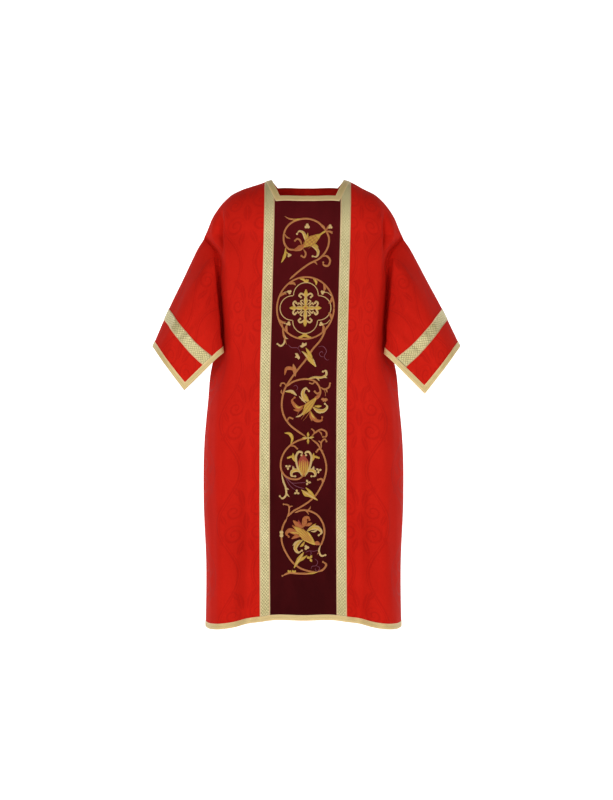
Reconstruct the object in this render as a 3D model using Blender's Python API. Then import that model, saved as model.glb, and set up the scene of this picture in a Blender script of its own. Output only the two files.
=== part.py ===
"""A dalmatic: front and back body, two sleeves open along the underside, a
velvet orphrey panel between two galloons, and narrow braid on every edge.

The garment keeps the hollow form of someone standing with the arms down.
Front faces -Y, +Z is up, and the origin lies midway between the two points
where the neckline meets the shoulders. The wearer's left is at +X.

Each piece is cut flat as a pattern, in the coordinates of the form that it
lies on, then laid on that form as a thin closed shell.
"""

import math

import bmesh
import bpy
import numpy as np

# ---------------------------------------------------------------- sizes (m)
CLOTH = 0.0020          # damask with its lining
TRIM = 0.0010           # velvet, galloon and braid
GAP = 0.0003            # between neighbouring pieces
LIFT = CLOTH / 2 + GAP  # from the middle of the cloth to what lies on it

GALLOON = 0.027         # width of a front galloon
SLEEVE_BAND = 0.033     # width of the galloon round a sleeve
BRAID = 0.015
PANEL_HALF = 0.0865     # half the width of the velvet panel
GALLOON_OUT = PANEL_HALF + GALLOON
BAND_UP = 0.080         # from the sleeve hem to the sleeve band

NECK_HALF = 0.096       # half the neck opening at the shoulder
SHOULDER_END = -0.147   # height where the sleeve joins the shoulder
UNDERARM = -0.470       # height where the side seam starts
SEAM_CLEAR = 0.0008     # how far the body's cloth stops short of the sleeve and side seams

# Shoulder line seen from the front: distance from the middle, height.
SHOULDER = (
    (0.000, 0.004), (0.104, -0.001), (0.136, -0.0133), (0.168, -0.0267), (0.193, -0.040),
    (0.2053, -0.0507), (0.228, -0.0773), (0.244, -0.104), (0.2547, -0.1307), (0.262, -0.147),
)

# The lines down the body that carry its form. across: coordinate over the
# cloth; round: how far below the shoulder line the rounding ends; hem: height
# of the hem there.
BODY_LINES = (
    # across  round   hem
    (0.0000, 0.130, -1.160),
    (PANEL_HALF, 0.130, -1.160),
    (GALLOON_OUT, 0.130, -1.164),
    (0.1450, 0.125, -1.169),
    (0.1800, 0.110, -1.176),
    (0.2100, 0.090, -1.180),
    (0.2450, 0.070, -1.183),
    (0.2900, 0.030, -1.186),
)
SEAM = BODY_LINES[-1][0]

# Plan sections of the half front. mid and edge: depth at the middle and at
# the panel's edge. Then distance from the middle and depth of the trough, the
# flank, the crest, the wall of the crease and the seam, and of the cloth next
# to the seam on the far side of it.
BODY_SECTIONS = (
    # height   mid    edge    trough         flank          crest          wall            seam            beyond
    (-0.147, 0.106, 0.102, 0.145, 0.098, 0.178, 0.090, 0.205, 0.076, 0.2300, 0.052, 0.2600, 0.006, 0.2300, -0.052),
    (-0.200, 0.112, 0.108, 0.145, 0.106, 0.175, 0.103, 0.200, 0.096, 0.2135, 0.078, 0.2235, 0.044, 0.2385, 0.048),
    (-0.270, 0.117, 0.113, 0.145, 0.111, 0.173, 0.109, 0.197, 0.103, 0.2115, 0.084, 0.2205, 0.043, 0.2335, 0.060),
    (-0.340, 0.119, 0.115, 0.145, 0.113, 0.170, 0.111, 0.192, 0.106, 0.2055, 0.086, 0.2170, 0.041, 0.2280, 0.062),
    (-0.400, 0.120, 0.116, 0.144, 0.114, 0.168, 0.112, 0.189, 0.107, 0.2025, 0.084, 0.2165, 0.036, 0.2280, 0.040),
    (-0.447, 0.121, 0.117, 0.143, 0.114, 0.166, 0.113, 0.187, 0.108, 0.2030, 0.079, 0.2280, 0.016, 0.2300, -0.030),
    (-0.470, 0.122, 0.118, 0.142, 0.115, 0.168, 0.114, 0.188, 0.108, 0.2060, 0.078, 0.2370, 0.000, 0.2060, -0.078),
    (-0.504, 0.123, 0.119, 0.142, 0.115, 0.170, 0.116, 0.193, 0.111, 0.2160, 0.078, 0.2453, 0.000, 0.2160, -0.078),
    (-0.584, 0.125, 0.120, 0.141, 0.116, 0.174, 0.121, 0.203, 0.118, 0.2310, 0.083, 0.2533, 0.000, 0.2310, -0.083),
    (-0.700, 0.127, 0.122, 0.141, 0.116, 0.177, 0.128, 0.209, 0.127, 0.2400, 0.090, 0.2635, 0.000, 0.2400, -0.090),
    (-0.850, 0.129, 0.124, 0.143, 0.116, 0.180, 0.136, 0.213, 0.139, 0.2440, 0.100, 0.2653, 0.000, 0.2440, -0.100),
    (-1.020, 0.131, 0.126, 0.145, 0.118, 0.182, 0.144, 0.213, 0.149, 0.2410, 0.110, 0.2585, 0.000, 0.2410, -0.110),
    (-1.200, 0.133, 0.128, 0.147, 0.120, 0.184, 0.150, 0.214, 0.157, 0.2420, 0.118, 0.2600, 0.000, 0.2420, -0.118),
)

# The middle of the neck and panel lies a little to the wearer's left on top.
LEAN = ((0.02, 0.0115), (-0.06, 0.0110), (-0.28, 0.006), (-0.50, 0.0005), (-0.80, -0.0013), (-1.20, 0.0))

# Neck openings, on the form of the body: half width and drop of the straight
# edge, as a share of the rounding of the shoulder.
NECK = {"front": (0.0733, 0.400), "back": (0.0800, 0.150)}
OUTWARD = {"front": -1, "back": 1}  # which way a pattern's own normal faces
NECK_BRAID_DROP = 0.105       # its width down the middle, as that same share
NECK_BRAID_SIDE = 0.0160      # its width on the slanted sides
BACK_DEPTH = 0.95             # depth of the back's sections beside the front's

# Lines from the armhole to the sleeve hem, front half. round: 0 on top of the
# arm, 1 at the open lower edge; seam: height where the line leaves the
# armhole. Then x, depth and height at the turn and lip of the crease, at two
# places down the sleeve, and at the hem.
SLEEVE_LINES = (
    # round seam    turn                    lip                     upper
    #               lower                   hem
    (0.00, -0.147, 0.2675, 0.000, -0.159, 0.2853, 0.000, -0.187, 0.3240, 0.000, -0.264,
     0.3647, 0.000, -0.344, 0.4093, 0.000, -0.441),
    (0.20, -0.190, 0.2380, 0.048, -0.197, 0.2480, 0.059, -0.212, 0.2880, 0.076, -0.273,
     0.3370, 0.071, -0.361, 0.3970, 0.052, -0.456),
    (0.45, -0.270, 0.2325, 0.055, -0.273, 0.2325, 0.077, -0.281, 0.2680, 0.101, -0.323,
     0.3140, 0.096, -0.400, 0.3720, 0.082, -0.490),
    (0.72, -0.360, 0.2270, 0.053, -0.362, 0.2240, 0.080, -0.367, 0.2490, 0.105, -0.397,
     0.2890, 0.103, -0.450, 0.3430, 0.092, -0.528),
    (1.00, -0.470, 0.2385, 0.045, -0.464, 0.2120, 0.088, -0.460, 0.2310, 0.107, -0.480,
     0.2680, 0.106, -0.517, 0.3156, 0.094, -0.5635),
)
# Girth of the cloth for each unit of round, near the open edge.
GIRTH = {"hem": 0.160, "seam": 0.400}
# The left sleeve stands out more than the right: half the differences.
UNEVEN = {"top_out": 0.008, "edge_out": 0.003, "edge_down": 0.0045}
# The back of each sleeve hangs a little shorter: its lower edge is up and out.
BACK_EDGE = {"up": 0.022, "out": 0.009}
# The band round the sleeve dips towards the hem, and lifts at the open edges.
BAND_DIP = ((0.0, 0.002), (0.2, 0.0078), (0.5, 0.0062), (0.8, 0.001), (1.0, -0.007))

MATERIALS = {
    # name            red    green  blue   roughness metallic
    "red_damask": (0.560, 0.010, 0.008, 0.55, 0.0),
    "wine_velvet": (0.060, 0.003, 0.006, 0.80, 0.0),
    "gold_galloon": (0.520, 0.420, 0.190, 0.45, 0.3),
    "gold_braid": (0.480, 0.370, 0.170, 0.50, 0.2),
}


# ------------------------------------------------------------------- curves
def through(stations, values, x):
    """Smooth curve through the stations: values has one row for each."""
    stations = np.asarray(stations, float)
    values = np.asarray(values, float)
    x = np.clip(np.asarray(x, float), stations[0], stations[-1])
    step = np.diff(stations)
    shape = (-1,) + (1,) * (values.ndim - 1)
    rate = np.diff(values, axis=0) / step.reshape(shape)
    ahead, behind = step[1:].reshape(shape), step[:-1].reshape(shape)
    inner = (rate[:-1] * ahead + rate[1:] * behind) / (ahead + behind)
    slope = np.concatenate([rate[:1], inner, rate[-1:]])
    i = np.clip(np.searchsorted(stations, x, side="right") - 1, 0, len(step) - 1)
    t = ((x - stations[i]) / step[i]).reshape(x.shape + (1,) * (values.ndim - 1))
    h = step[i].reshape(t.shape)
    return (
        (1 + 2 * t) * (1 - t) ** 2 * values[i] + t * (1 - t) ** 2 * h * slope[i]
        + t * t * (3 - 2 * t) * values[i + 1] - t * t * (1 - t) * h * slope[i + 1]
    )


def along(stations, values, x):
    """The same at many places, each with its own row of values."""
    stations = np.asarray(stations, float)
    step = np.diff(stations)
    rate = np.diff(values, axis=1) / step
    inner = (rate[:, :-1] * step[1:] + rate[:, 1:] * step[:-1]) / (step[1:] + step[:-1])
    slope = np.hstack([rate[:, :1], inner, rate[:, -1:]])
    i = np.clip(np.searchsorted(stations, x, side="right") - 1, 0, len(step) - 1)
    n = np.arange(len(x))
    h = step[i]
    t = (x - stations[i]) / h
    return (
        (1 + 2 * t) * (1 - t) ** 2 * values[n, i] + t * (1 - t) ** 2 * h * slope[n, i]
        + t * t * (3 - 2 * t) * values[n, i + 1] - t * t * (1 - t) * h * slope[n, i + 1]
    )


# --------------------------------------------------------------- body form
LINES = np.array(BODY_LINES)
SECTIONS = np.array(BODY_SECTIONS)
BEYOND = 2 * SEAM - LINES[-2, 0]
ACROSS = np.append(LINES[:, 0], BEYOND)


def body_points(face, across, down):
    """Points of the body's cloth. down runs 0-1 over the shoulder's rounding
    and 1-2 from there to the hem."""
    side = np.where(across < 0, -1.0, 1.0)
    a = np.minimum(np.abs(across), SEAM)
    top_x = section(0, np.full_like(a, SHOULDER_END), a)
    ridge = through([x for x, _ in SHOULDER], [z for _, z in SHOULDER], top_x)
    rounding = through(LINES[:, 0], LINES[:, 1], a)
    hem = through(LINES[:, 0], LINES[:, 2], a)
    angle = np.minimum(down, 1) * math.pi / 2
    z = ridge - rounding * (1 - np.cos(angle))
    z = np.where(down > 1, ridge - rounding + (hem - ridge + rounding) * (down - 1), z)
    depth = section(1, z, a) * np.sin(angle) + GAP / 2
    if face == "back":
        depth = -depth * BACK_DEPTH
    fade = np.clip((a - GALLOON_OUT) / 0.055, 0, 1)
    lean = through([-h for h, _ in LEAN], [x for _, x in LEAN], -z)
    x = side * section(0, z, a) + lean * (1 - fade * fade * (3 - 2 * fade))
    return np.stack([x, -depth, z], axis=-1)


def section(axis, z, a):
    """Distance from the middle (axis 0) or depth (axis 1) of the half section
    at height z, at coordinate a across the cloth."""
    row = through(-SECTIONS[:, 0], SECTIONS, -np.minimum(z, SHOULDER_END))
    if axis == 0:
        flat = np.zeros(len(row))
        knots = np.stack([flat, flat + PANEL_HALF, flat + GALLOON_OUT, *row[:, 3::2].T], axis=1)
    else:
        row[:, 14] = np.maximum(row[:, 14], 0)
        knots = np.stack([row[:, 1], row[:, 2], row[:, 2] - 0.0005, *row[:, 4::2].T], axis=1)
    # The mirrored line on the far side of the middle keeps the curve level there.
    mirrored = -knots[:, 1:2] if axis == 0 else knots[:, 1:2]
    return along(np.append(-PANEL_HALF, ACROSS), np.hstack([mirrored, knots]), a)


def down_at(z, a=SEAM):
    """The coordinate down the cloth at height z on line a."""
    low, high = 0.0, 2.0
    for _ in range(40):
        mid = (low + high) / 2
        height = body_points("front", np.array([a]), np.array([mid]))[0, 2]
        low, high = (mid, high) if height > z else (low, mid)
    return (low + high) / 2


# ------------------------------------------------------------- sleeve form
SLEEVES = np.array(SLEEVE_LINES)
SEAM_DOWN = np.array([down_at(z) for z in np.linspace(SHOULDER_END, UNDERARM, 41)])
SAMPLES = 49


def sleeve_lines(around):
    """Control points of the sleeve's lines at each place round the arm: the
    body next to the seam, the seam, then the five stations."""
    q = np.abs(around)
    mirror = SLEEVES[1].copy()
    mirror[0] *= -1
    mirror[3::3] *= -1
    row = through(
        np.append(mirror[0], SLEEVES[:, 0]), np.vstack([mirror, SLEEVES]), q)
    seam_z = row[:, 1]
    share = (seam_z - SHOULDER_END) / (UNDERARM - SHOULDER_END) * (len(SEAM_DOWN) - 1)
    down = np.interp(share, np.arange(len(SEAM_DOWN)), SEAM_DOWN)
    seam = body_points("front", np.full_like(q, SEAM), down)
    before = body_points("front", np.full_like(q, LINES[-2, 0]), down)
    points = row[:, 2:].reshape(len(q), -1, 3)
    points[:, :, 1] *= -1
    return np.concatenate([before[:, None], seam[:, None], points], axis=1)


def sleeve_points(side, around, up):
    """Points of a sleeve. around: -1 front lower edge, 0 top, 1 back lower
    edge. up: 0-1 from the hem to the top of the band, 1-2 on to the armhole."""
    lines = sleeve_lines(around)
    knots = np.linspace(-1, lines.shape[1] - 2, lines.shape[1])
    u = np.linspace(0, knots[-1], SAMPLES)
    dense = np.stack([through(knots, line, u)[::-1] for line in lines])
    step = np.linalg.norm(np.diff(dense, axis=1), axis=2)
    length = np.concatenate([np.zeros((len(step), 1)), np.cumsum(step, axis=1)], axis=1)
    total = length[:, -1]
    edge = np.abs(around)
    band_top = BAND_UP + SLEEVE_BAND - through([q for q, _ in BAND_DIP], [dip for _, dip in BAND_DIP], edge)
    distance = np.where(up < 1, up * band_top, band_top + (total - band_top) * (up - 1))
    p = np.stack([
        [np.interp(d, run, line[:, k]) for k in range(3)]
        for d, run, line in zip(distance, length, dense)
    ])
    hemward = 1 - distance / total
    out = UNEVEN["top_out"] * (1 - edge) + UNEVEN["edge_out"] * edge
    p[:, 0] += side * out * hemward
    p[:, 2] -= side * UNEVEN["edge_down"] * edge * hemward
    behind = np.where(around > 0, edge ** 2 * np.minimum(1, 2 * hemward), 0)
    p[:, 0] += BACK_EDGE["out"] * behind
    p[:, 2] += BACK_EDGE["up"] * behind
    p[:, 0] *= side
    p[:, 1] *= np.where(around > 0, -BACK_DEPTH, 1.0)
    return p


EDGE = 0.9  # pattern coordinate where the braid on the open edge ends


def sleeve_surface(side):
    def place(c, up):
        girth = GIRTH["hem"] + (GIRTH["seam"] - GIRTH["hem"]) * up / 2
        share = BRAID / girth
        inside = np.abs(c) / EDGE * (1 - share)
        outside = 1 - (1 - np.abs(c)) / (1 - EDGE) * share
        around = np.sign(c) * np.where(np.abs(c) > EDGE, outside, inside)
        return sleeve_points(side, around, up)
    return place


def body_surface(face):
    def place(across, drop):
        return body_points(face, across, down_of(drop))
    return place


def down_of(drop):
    """The pattern measures the shoulder's rounding by its drop in height, and
    the form measures it by its angle."""
    angle = np.arccos(1 - np.clip(drop, 0, 1)) / (math.pi / 2)
    return np.where(drop > 1, drop, angle)


# ----------------------------------------------------------------- patterns
def grid(columns, rows):
    """A flat pattern with a vertex at each column and row."""
    flat = bmesh.new()
    lattice = [[flat.verts.new((c, r, 0)) for c in columns] for r in rows]
    for low, high in zip(lattice, lattice[1:]):
        for i in range(len(columns) - 1):
            flat.faces.new((low[i], low[i + 1], high[i + 1], high[i]))
    return flat


def cut(flat, point, direction, near):
    """Cuts the pattern along a line, only where near(x, y) holds."""
    faces = [f for f in flat.faces if near(*f.calc_center_median()[:2])]
    edges = {e for f in faces for e in f.edges}
    verts = {v for f in faces for v in f.verts}
    bmesh.ops.bisect_plane(
        flat, geom=faces + list(edges) + list(verts), dist=1e-7,
        plane_co=(*point, 0), plane_no=(-direction[1], direction[0], 0))


def keep(flat, test):
    gone = [f for f in flat.faces if not test(*f.calc_center_median()[:2])]
    bmesh.ops.delete(flat, geom=gone, context="FACES")
    return flat


def trapezium(face, grow=0.0, share=0.0):
    """The neck opening, made larger all round: test for inside, and its cuts."""
    half, drop = NECK[face]
    slope = (NECK_HALF - half) / drop
    top, bottom = NECK_HALF + grow, drop + share

    def inside(a, g):
        return g < bottom and abs(a) < top - slope * g

    def carve(flat):
        cut(flat, (0, bottom), (1, 0), lambda a, g: g < 1 and abs(a) < NECK_REACH)
        for side in (-1, 1):
            cut(flat, (side * top, 0), (-side * slope, 1), lambda a, g: g < bottom and abs(a) < NECK_REACH)
    return inside, carve


# ------------------------------------------------------------------- shells
def laid(surface, columns, rows, low, high):
    """The pattern's points on its form, moved along the cloth's normal."""
    step = 2e-4
    here = surface(columns, rows)
    inwards = np.where(columns > 0, -step, step)
    side = (surface(columns + inwards, rows) - here) * np.sign(inwards)[:, None]
    downward = np.where(rows > 1.5, -step, step)
    down = (surface(columns, rows + downward) - here) * np.sign(downward)[:, None]
    normal = np.cross(side, down)
    normal /= np.linalg.norm(normal, axis=1)[:, None]
    return here + normal * low, here + normal * high


def shell(name, pieces, low, high, material, joint=None):
    """One closed shell from pieces, each a flat pattern, its form, and -1 where
    the pattern's normal points into the garment. The pieces of one braid are
    sewn end to end where joint holds, with no end faces between."""
    body = bmesh.new()
    for flat, surface, facing in pieces:
        bmesh.ops.triangulate(flat, faces=flat.faces[:], quad_method="FIXED")
        loose = [v for v in flat.verts if not v.link_faces]
        bmesh.ops.delete(flat, geom=loose, context="VERTS")
        flat.verts.index_update()
        place = np.array([v.co[:2] for v in flat.verts], float)
        under, over = laid(surface, place[:, 0], place[:, 1], facing * low, facing * high)
        below = [body.verts.new(p) for p in under]
        above = [body.verts.new(p) for p in over]
        for f in flat.faces:
            corners = [v.index for v in f.verts]
            body.faces.new([above[i] for i in corners])
            body.faces.new([below[i] for i in reversed(corners)])
        for e in flat.edges:
            if e.is_boundary and not (joint and all(joint(*v.co[:2]) for v in e.verts)):
                i, j = (v.index for v in e.verts)
                body.faces.new((below[i], below[j], above[j], above[i]))
        flat.free()
    if joint:
        bmesh.ops.remove_doubles(body, verts=body.verts[:], dist=6e-4)
    bmesh.ops.recalc_face_normals(body, faces=body.faces[:])
    mesh = bpy.data.meshes.new(name)
    body.to_mesh(mesh)
    body.free()
    made = bpy.data.objects.new(name, mesh)
    bpy.context.scene.collection.objects.link(made)
    mesh.materials.append(MADE[material])
    return made


# ------------------------------------------------------------------- pieces
def mirrored(values):
    return sorted({-v for v in values} | set(values))


def around_at(z):
    """The line of the sleeve that leaves the armhole at height z."""
    line = np.linspace(0, 1, 201)
    return float(np.interp(-z, -through(SLEEVES[:, 0], SLEEVES[:, 1], line), line))


BODY_COLUMNS = mirrored([
    0, 0.045, PANEL_HALF, 0.100, GALLOON_OUT, 0.145, 0.163, 0.180, 0.196, 0.210,
    0.228, 0.245, 0.257, 0.268, 0.279, SEAM - SEAM_CLEAR,
])
NECK_REACH = 0.15  # the neckline's cuts stay this near the middle
ROUND_ROWS = [0.049, 0.191, NECK["front"][1], NECK["front"][1] + NECK_BRAID_DROP, 0.73, 1]
ARMHOLE_ROWS = [1.02, 1.045, 1.08, 1.125, 1.175, 1.225, 1.277, 1.29]
FALL_ROWS = ARMHOLE_ROWS + [1.34, 1.41, 1.51, 1.63, 1.76, 1.885]
HEM_BRAID_ROW = 2 - BRAID / 1.04
BODY_ROWS = [2e-6] + ROUND_ROWS + FALL_ROWS + [HEM_BRAID_ROW, 2]

SEAM_HEIGHTS = body_points("front", np.full(9, SEAM), down_of(np.array(
    [ROUND_ROWS[3], 1] + ARMHOLE_ROWS[:-1])))[:, 2]
AT_SEAM = EDGE / (1 - BRAID / GIRTH["seam"])
SLEEVE_COLUMNS = mirrored([0, 1, EDGE] + [around_at(z) * AT_SEAM for z in SEAM_HEIGHTS[:-1]])
UNDERARM_CORNER = 1.972  # where the sleeve's lower corners stop, short of the two seams
BRAID_UP = BRAID / (BAND_UP + SLEEVE_BAND)
BAND_LOW = BAND_UP / (BAND_UP + SLEEVE_BAND)
ARMHOLE_END = 1.991      # the row of the sleeve beside the armhole's seam
SLEEVE_ROWS = [0, BRAID_UP, 0.42, BAND_LOW, 1, 1.22, 1.45, 1.65, 1.79, 1.90, ARMHOLE_END]
SLIT = GAP / 2
PANEL_EDGE = PANEL_HALF - SLIT
BAND_END = EDGE - 0.001  # the sleeve band stops beside the edge braid


def body(face):
    inside, carve = trapezium(face)
    flat = grid(BODY_COLUMNS, BODY_ROWS)
    carve(flat)
    keep(flat, lambda a, g: not inside(a, g))
    shell(f"{face}_body", [(flat, body_surface(face), OUTWARD[face])], -CLOTH / 2, CLOTH / 2, "red_damask")


def on_front(name, columns, material):
    """A strip down the front, from the neck braid to the hem braid."""
    inside, carve = trapezium("front", NECK_BRAID_SIDE + SLIT, NECK_BRAID_DROP)
    rows = [2e-6] + ROUND_ROWS + FALL_ROWS + [HEM_BRAID_ROW - GAP]
    flat = grid(columns, rows)
    carve(flat)
    keep(flat, lambda a, g: not inside(a, g))
    shell(name, [(flat, body_surface("front"), OUTWARD["front"])], LIFT, LIFT + TRIM, material)


def neck_braid():
    pieces = []
    for face in OUTWARD:
        inside, carve = trapezium(face)
        reach, carve_out = trapezium(face, NECK_BRAID_SIDE, NECK_BRAID_DROP)
        flat = grid([c for c in BODY_COLUMNS if abs(c) < NECK_REACH], [0] + ROUND_ROWS)
        carve(flat)
        carve_out(flat)
        keep(flat, lambda a, g: reach(a, g) and not inside(a, g))
        pieces.append((flat, body_surface(face), OUTWARD[face]))
    shell("neck_braid", pieces, LIFT, LIFT + TRIM, "gold_braid", lambda a, g: g < 1e-6)


def hem_braid():
    pieces = []
    for face in OUTWARD:
        flat = grid([-SEAM] + BODY_COLUMNS[1:-1] + [SEAM], [HEM_BRAID_ROW, 2])
        pieces.append((flat, body_surface(face), OUTWARD[face]))
    shell("hem_braid", pieces, LIFT, LIFT + TRIM, "gold_braid", lambda a, g: abs(a) > SEAM - 1e-6)


def sleeve(side, name):
    surface = sleeve_surface(side)
    flat = grid(SLEEVE_COLUMNS, SLEEVE_ROWS)
    corners = [v for v in flat.verts if abs(v.co.x) == 1 and v.co.y > UNDERARM_CORNER]
    for v in corners:
        v.co.y = UNDERARM_CORNER
    shell(f"{name}_sleeve", [(flat, surface, side)], -CLOTH / 2, CLOTH / 2, "red_damask")

    inner = [c for c in SLEEVE_COLUMNS if abs(c) < EDGE]
    flat = grid([-BAND_END] + inner + [BAND_END], [BAND_LOW, 1])
    shell(f"{name}_sleeve_band", [(flat, surface, side)], LIFT, LIFT + TRIM, "gold_galloon")

    flat = grid(SLEEVE_COLUMNS, SLEEVE_ROWS[:-1])
    keep(flat, lambda c, up: up < BRAID_UP or abs(c) > EDGE)
    shell(f"{name}_sleeve_edge_braid", [(flat, surface, side)], LIFT, LIFT + TRIM, "gold_braid")


def make_material(name, red, green, blue, roughness, metallic):
    material = bpy.data.materials.new(name)
    material.use_nodes = True
    shader = material.node_tree.nodes["Principled BSDF"]
    shader.inputs["Base Color"].default_value = (red, green, blue, 1)
    shader.inputs["Roughness"].default_value = roughness
    shader.inputs["Metallic"].default_value = metallic
    return material


for old in list(bpy.data.objects):
    bpy.data.objects.remove(old)
MADE = {name: make_material(name, *values) for name, values in MATERIALS.items()}

for face in OUTWARD:
    body(face)
on_front("orphrey_panel", [-PANEL_EDGE] + [c for c in BODY_COLUMNS if abs(c) < PANEL_EDGE] + [PANEL_EDGE],
         "wine_velvet")
on_front("left_galloon", [PANEL_HALF + SLIT, 0.100, GALLOON_OUT], "gold_galloon")
on_front("right_galloon", [-GALLOON_OUT, -0.100, -PANEL_HALF - SLIT], "gold_galloon")
neck_braid()
hem_braid()
sleeve(1, "left")
sleeve(-1, "right")
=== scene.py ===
# %% [markdown]
# # A deacon's dalmatic
# A dalmatic is a wide T-shaped robe: a straight body, short wide sleeves left
# open along the underside, and ornament laid over the cloth. The CAD model
# gives each cut piece its place and size. This lesson gives the cloth its fine
# creases and weave, and works the embroidery of the front panel.
#
# The worn form is kept without a wearer. Each cell makes one thing and prints
# what came out. Lengths are in metres unless a name ends in mm.

# %% Start from the packed model
import math

import bpy
import numpy as np
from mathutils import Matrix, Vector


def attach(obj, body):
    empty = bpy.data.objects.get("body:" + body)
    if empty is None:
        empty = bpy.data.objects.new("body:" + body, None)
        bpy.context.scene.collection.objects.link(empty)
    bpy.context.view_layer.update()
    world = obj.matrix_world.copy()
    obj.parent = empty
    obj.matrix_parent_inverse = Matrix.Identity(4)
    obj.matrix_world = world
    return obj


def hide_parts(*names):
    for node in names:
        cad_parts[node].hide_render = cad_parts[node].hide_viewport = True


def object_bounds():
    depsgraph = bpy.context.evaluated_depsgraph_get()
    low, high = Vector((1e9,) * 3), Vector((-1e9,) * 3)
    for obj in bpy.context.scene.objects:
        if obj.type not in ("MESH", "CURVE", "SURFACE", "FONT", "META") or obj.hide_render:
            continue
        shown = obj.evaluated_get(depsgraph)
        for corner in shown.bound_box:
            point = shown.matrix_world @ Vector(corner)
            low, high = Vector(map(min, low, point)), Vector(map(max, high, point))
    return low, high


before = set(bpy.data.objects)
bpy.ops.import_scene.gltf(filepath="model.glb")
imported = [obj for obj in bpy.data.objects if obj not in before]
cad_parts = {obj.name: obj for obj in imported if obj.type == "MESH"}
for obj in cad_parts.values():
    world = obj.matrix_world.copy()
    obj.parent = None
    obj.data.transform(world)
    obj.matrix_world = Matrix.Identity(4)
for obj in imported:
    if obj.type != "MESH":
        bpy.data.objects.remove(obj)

cad_low, cad_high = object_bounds()
print("CAD box", [round(v, 3) for v in cad_low], [round(v, 3) for v in cad_high])

# %% [markdown]
# ## Smooth curves through a few stations
# A pattern cutter knows the garment at a few measured places and lets the
# cloth run smoothly between them. `through` does that for one row of stations
# and `along` for many rows at once.

# %% Curves
def hermite(t, h, start, end, slope_start, slope_end):
    return ((1 + 2 * t) * (1 - t) ** 2 * start + t * (1 - t) ** 2 * h * slope_start
            + t * t * (3 - 2 * t) * end - t * t * (1 - t) * h * slope_end)


def slopes(rate, step):
    """Slope at each station, weighed between the steps on its two sides."""
    inner = (rate[..., :-1] * step[1:] + rate[..., 1:] * step[:-1]) / (step[1:] + step[:-1])
    return np.concatenate([rate[..., :1], inner, rate[..., -1:]], axis=-1)


def through(stations, values, x):
    """Smooth curve through the stations; values has one row for each."""
    stations = np.asarray(stations, float)
    values = np.asarray(values, float).T
    x = np.clip(np.asarray(x, float), stations[0], stations[-1])
    step = np.diff(stations)
    slope = slopes(np.diff(values) / step, step)
    i = np.clip(np.searchsorted(stations, x, side="right") - 1, 0, len(step) - 1)
    t = (x - stations[i]) / step[i]
    curve = hermite(t, step[i], values[..., i], values[..., i + 1], slope[..., i], slope[..., i + 1])
    return np.moveaxis(curve, 0, -1) if values.ndim > 1 else curve


def along(stations, values, x):
    """The same at many places, each with its own row of values."""
    stations = np.asarray(stations, float)
    step = np.diff(stations)
    slope = slopes(np.diff(values, axis=1) / step, step)
    i = np.clip(np.searchsorted(stations, x, side="right") - 1, 0, len(step) - 1)
    n = np.arange(len(x))
    t = (x - stations[i]) / step[i]
    return hermite(t, step[i], values[n, i], values[n, i + 1], slope[n, i], slope[n, i + 1])


print(f"a quarter of the way along a curve through 0, 1 and 0: {through([0, 1, 2], [0, 1, 0], 0.5):.3f}")

# %% [markdown]
# ## The form of the body
# These are the same tables that the CAD part is laid out from: the shoulder
# line seen from the front, the lines down the body, and plan sections at
# thirteen heights. The hollow behind each crest is the deep crease beside the
# sleeve. The back is the front turned round and a little flatter.

# %% Body form
PANEL_HALF, GALLOON, BRAID = 0.0865, 0.027, 0.015
GALLOON_OUT = PANEL_HALF + GALLOON
BAND_UP, SLEEVE_BAND = 0.080, 0.033
NECK_HALF, SHOULDER_END, UNDERARM = 0.096, -0.147, -0.470
BACK_DEPTH = 0.95
SHOULDER = np.array([
    # from the middle, height
    (0.000, 0.004), (0.104, -0.001), (0.136, -0.0133), (0.168, -0.0267), (0.193, -0.040),
    (0.2053, -0.0507), (0.228, -0.0773), (0.244, -0.104), (0.2547, -0.1307), (0.262, -0.147),
])
LINES = np.array([
    # across, drop of the shoulder's rounding, height of the hem
    (0.0000, 0.130, -1.160), (PANEL_HALF, 0.130, -1.160), (GALLOON_OUT, 0.130, -1.164),
    (0.1450, 0.125, -1.169), (0.1800, 0.110, -1.176), (0.2100, 0.090, -1.180),
    (0.2450, 0.070, -1.183), (0.2900, 0.030, -1.186),
])
SEAM = LINES[-1, 0]
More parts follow.
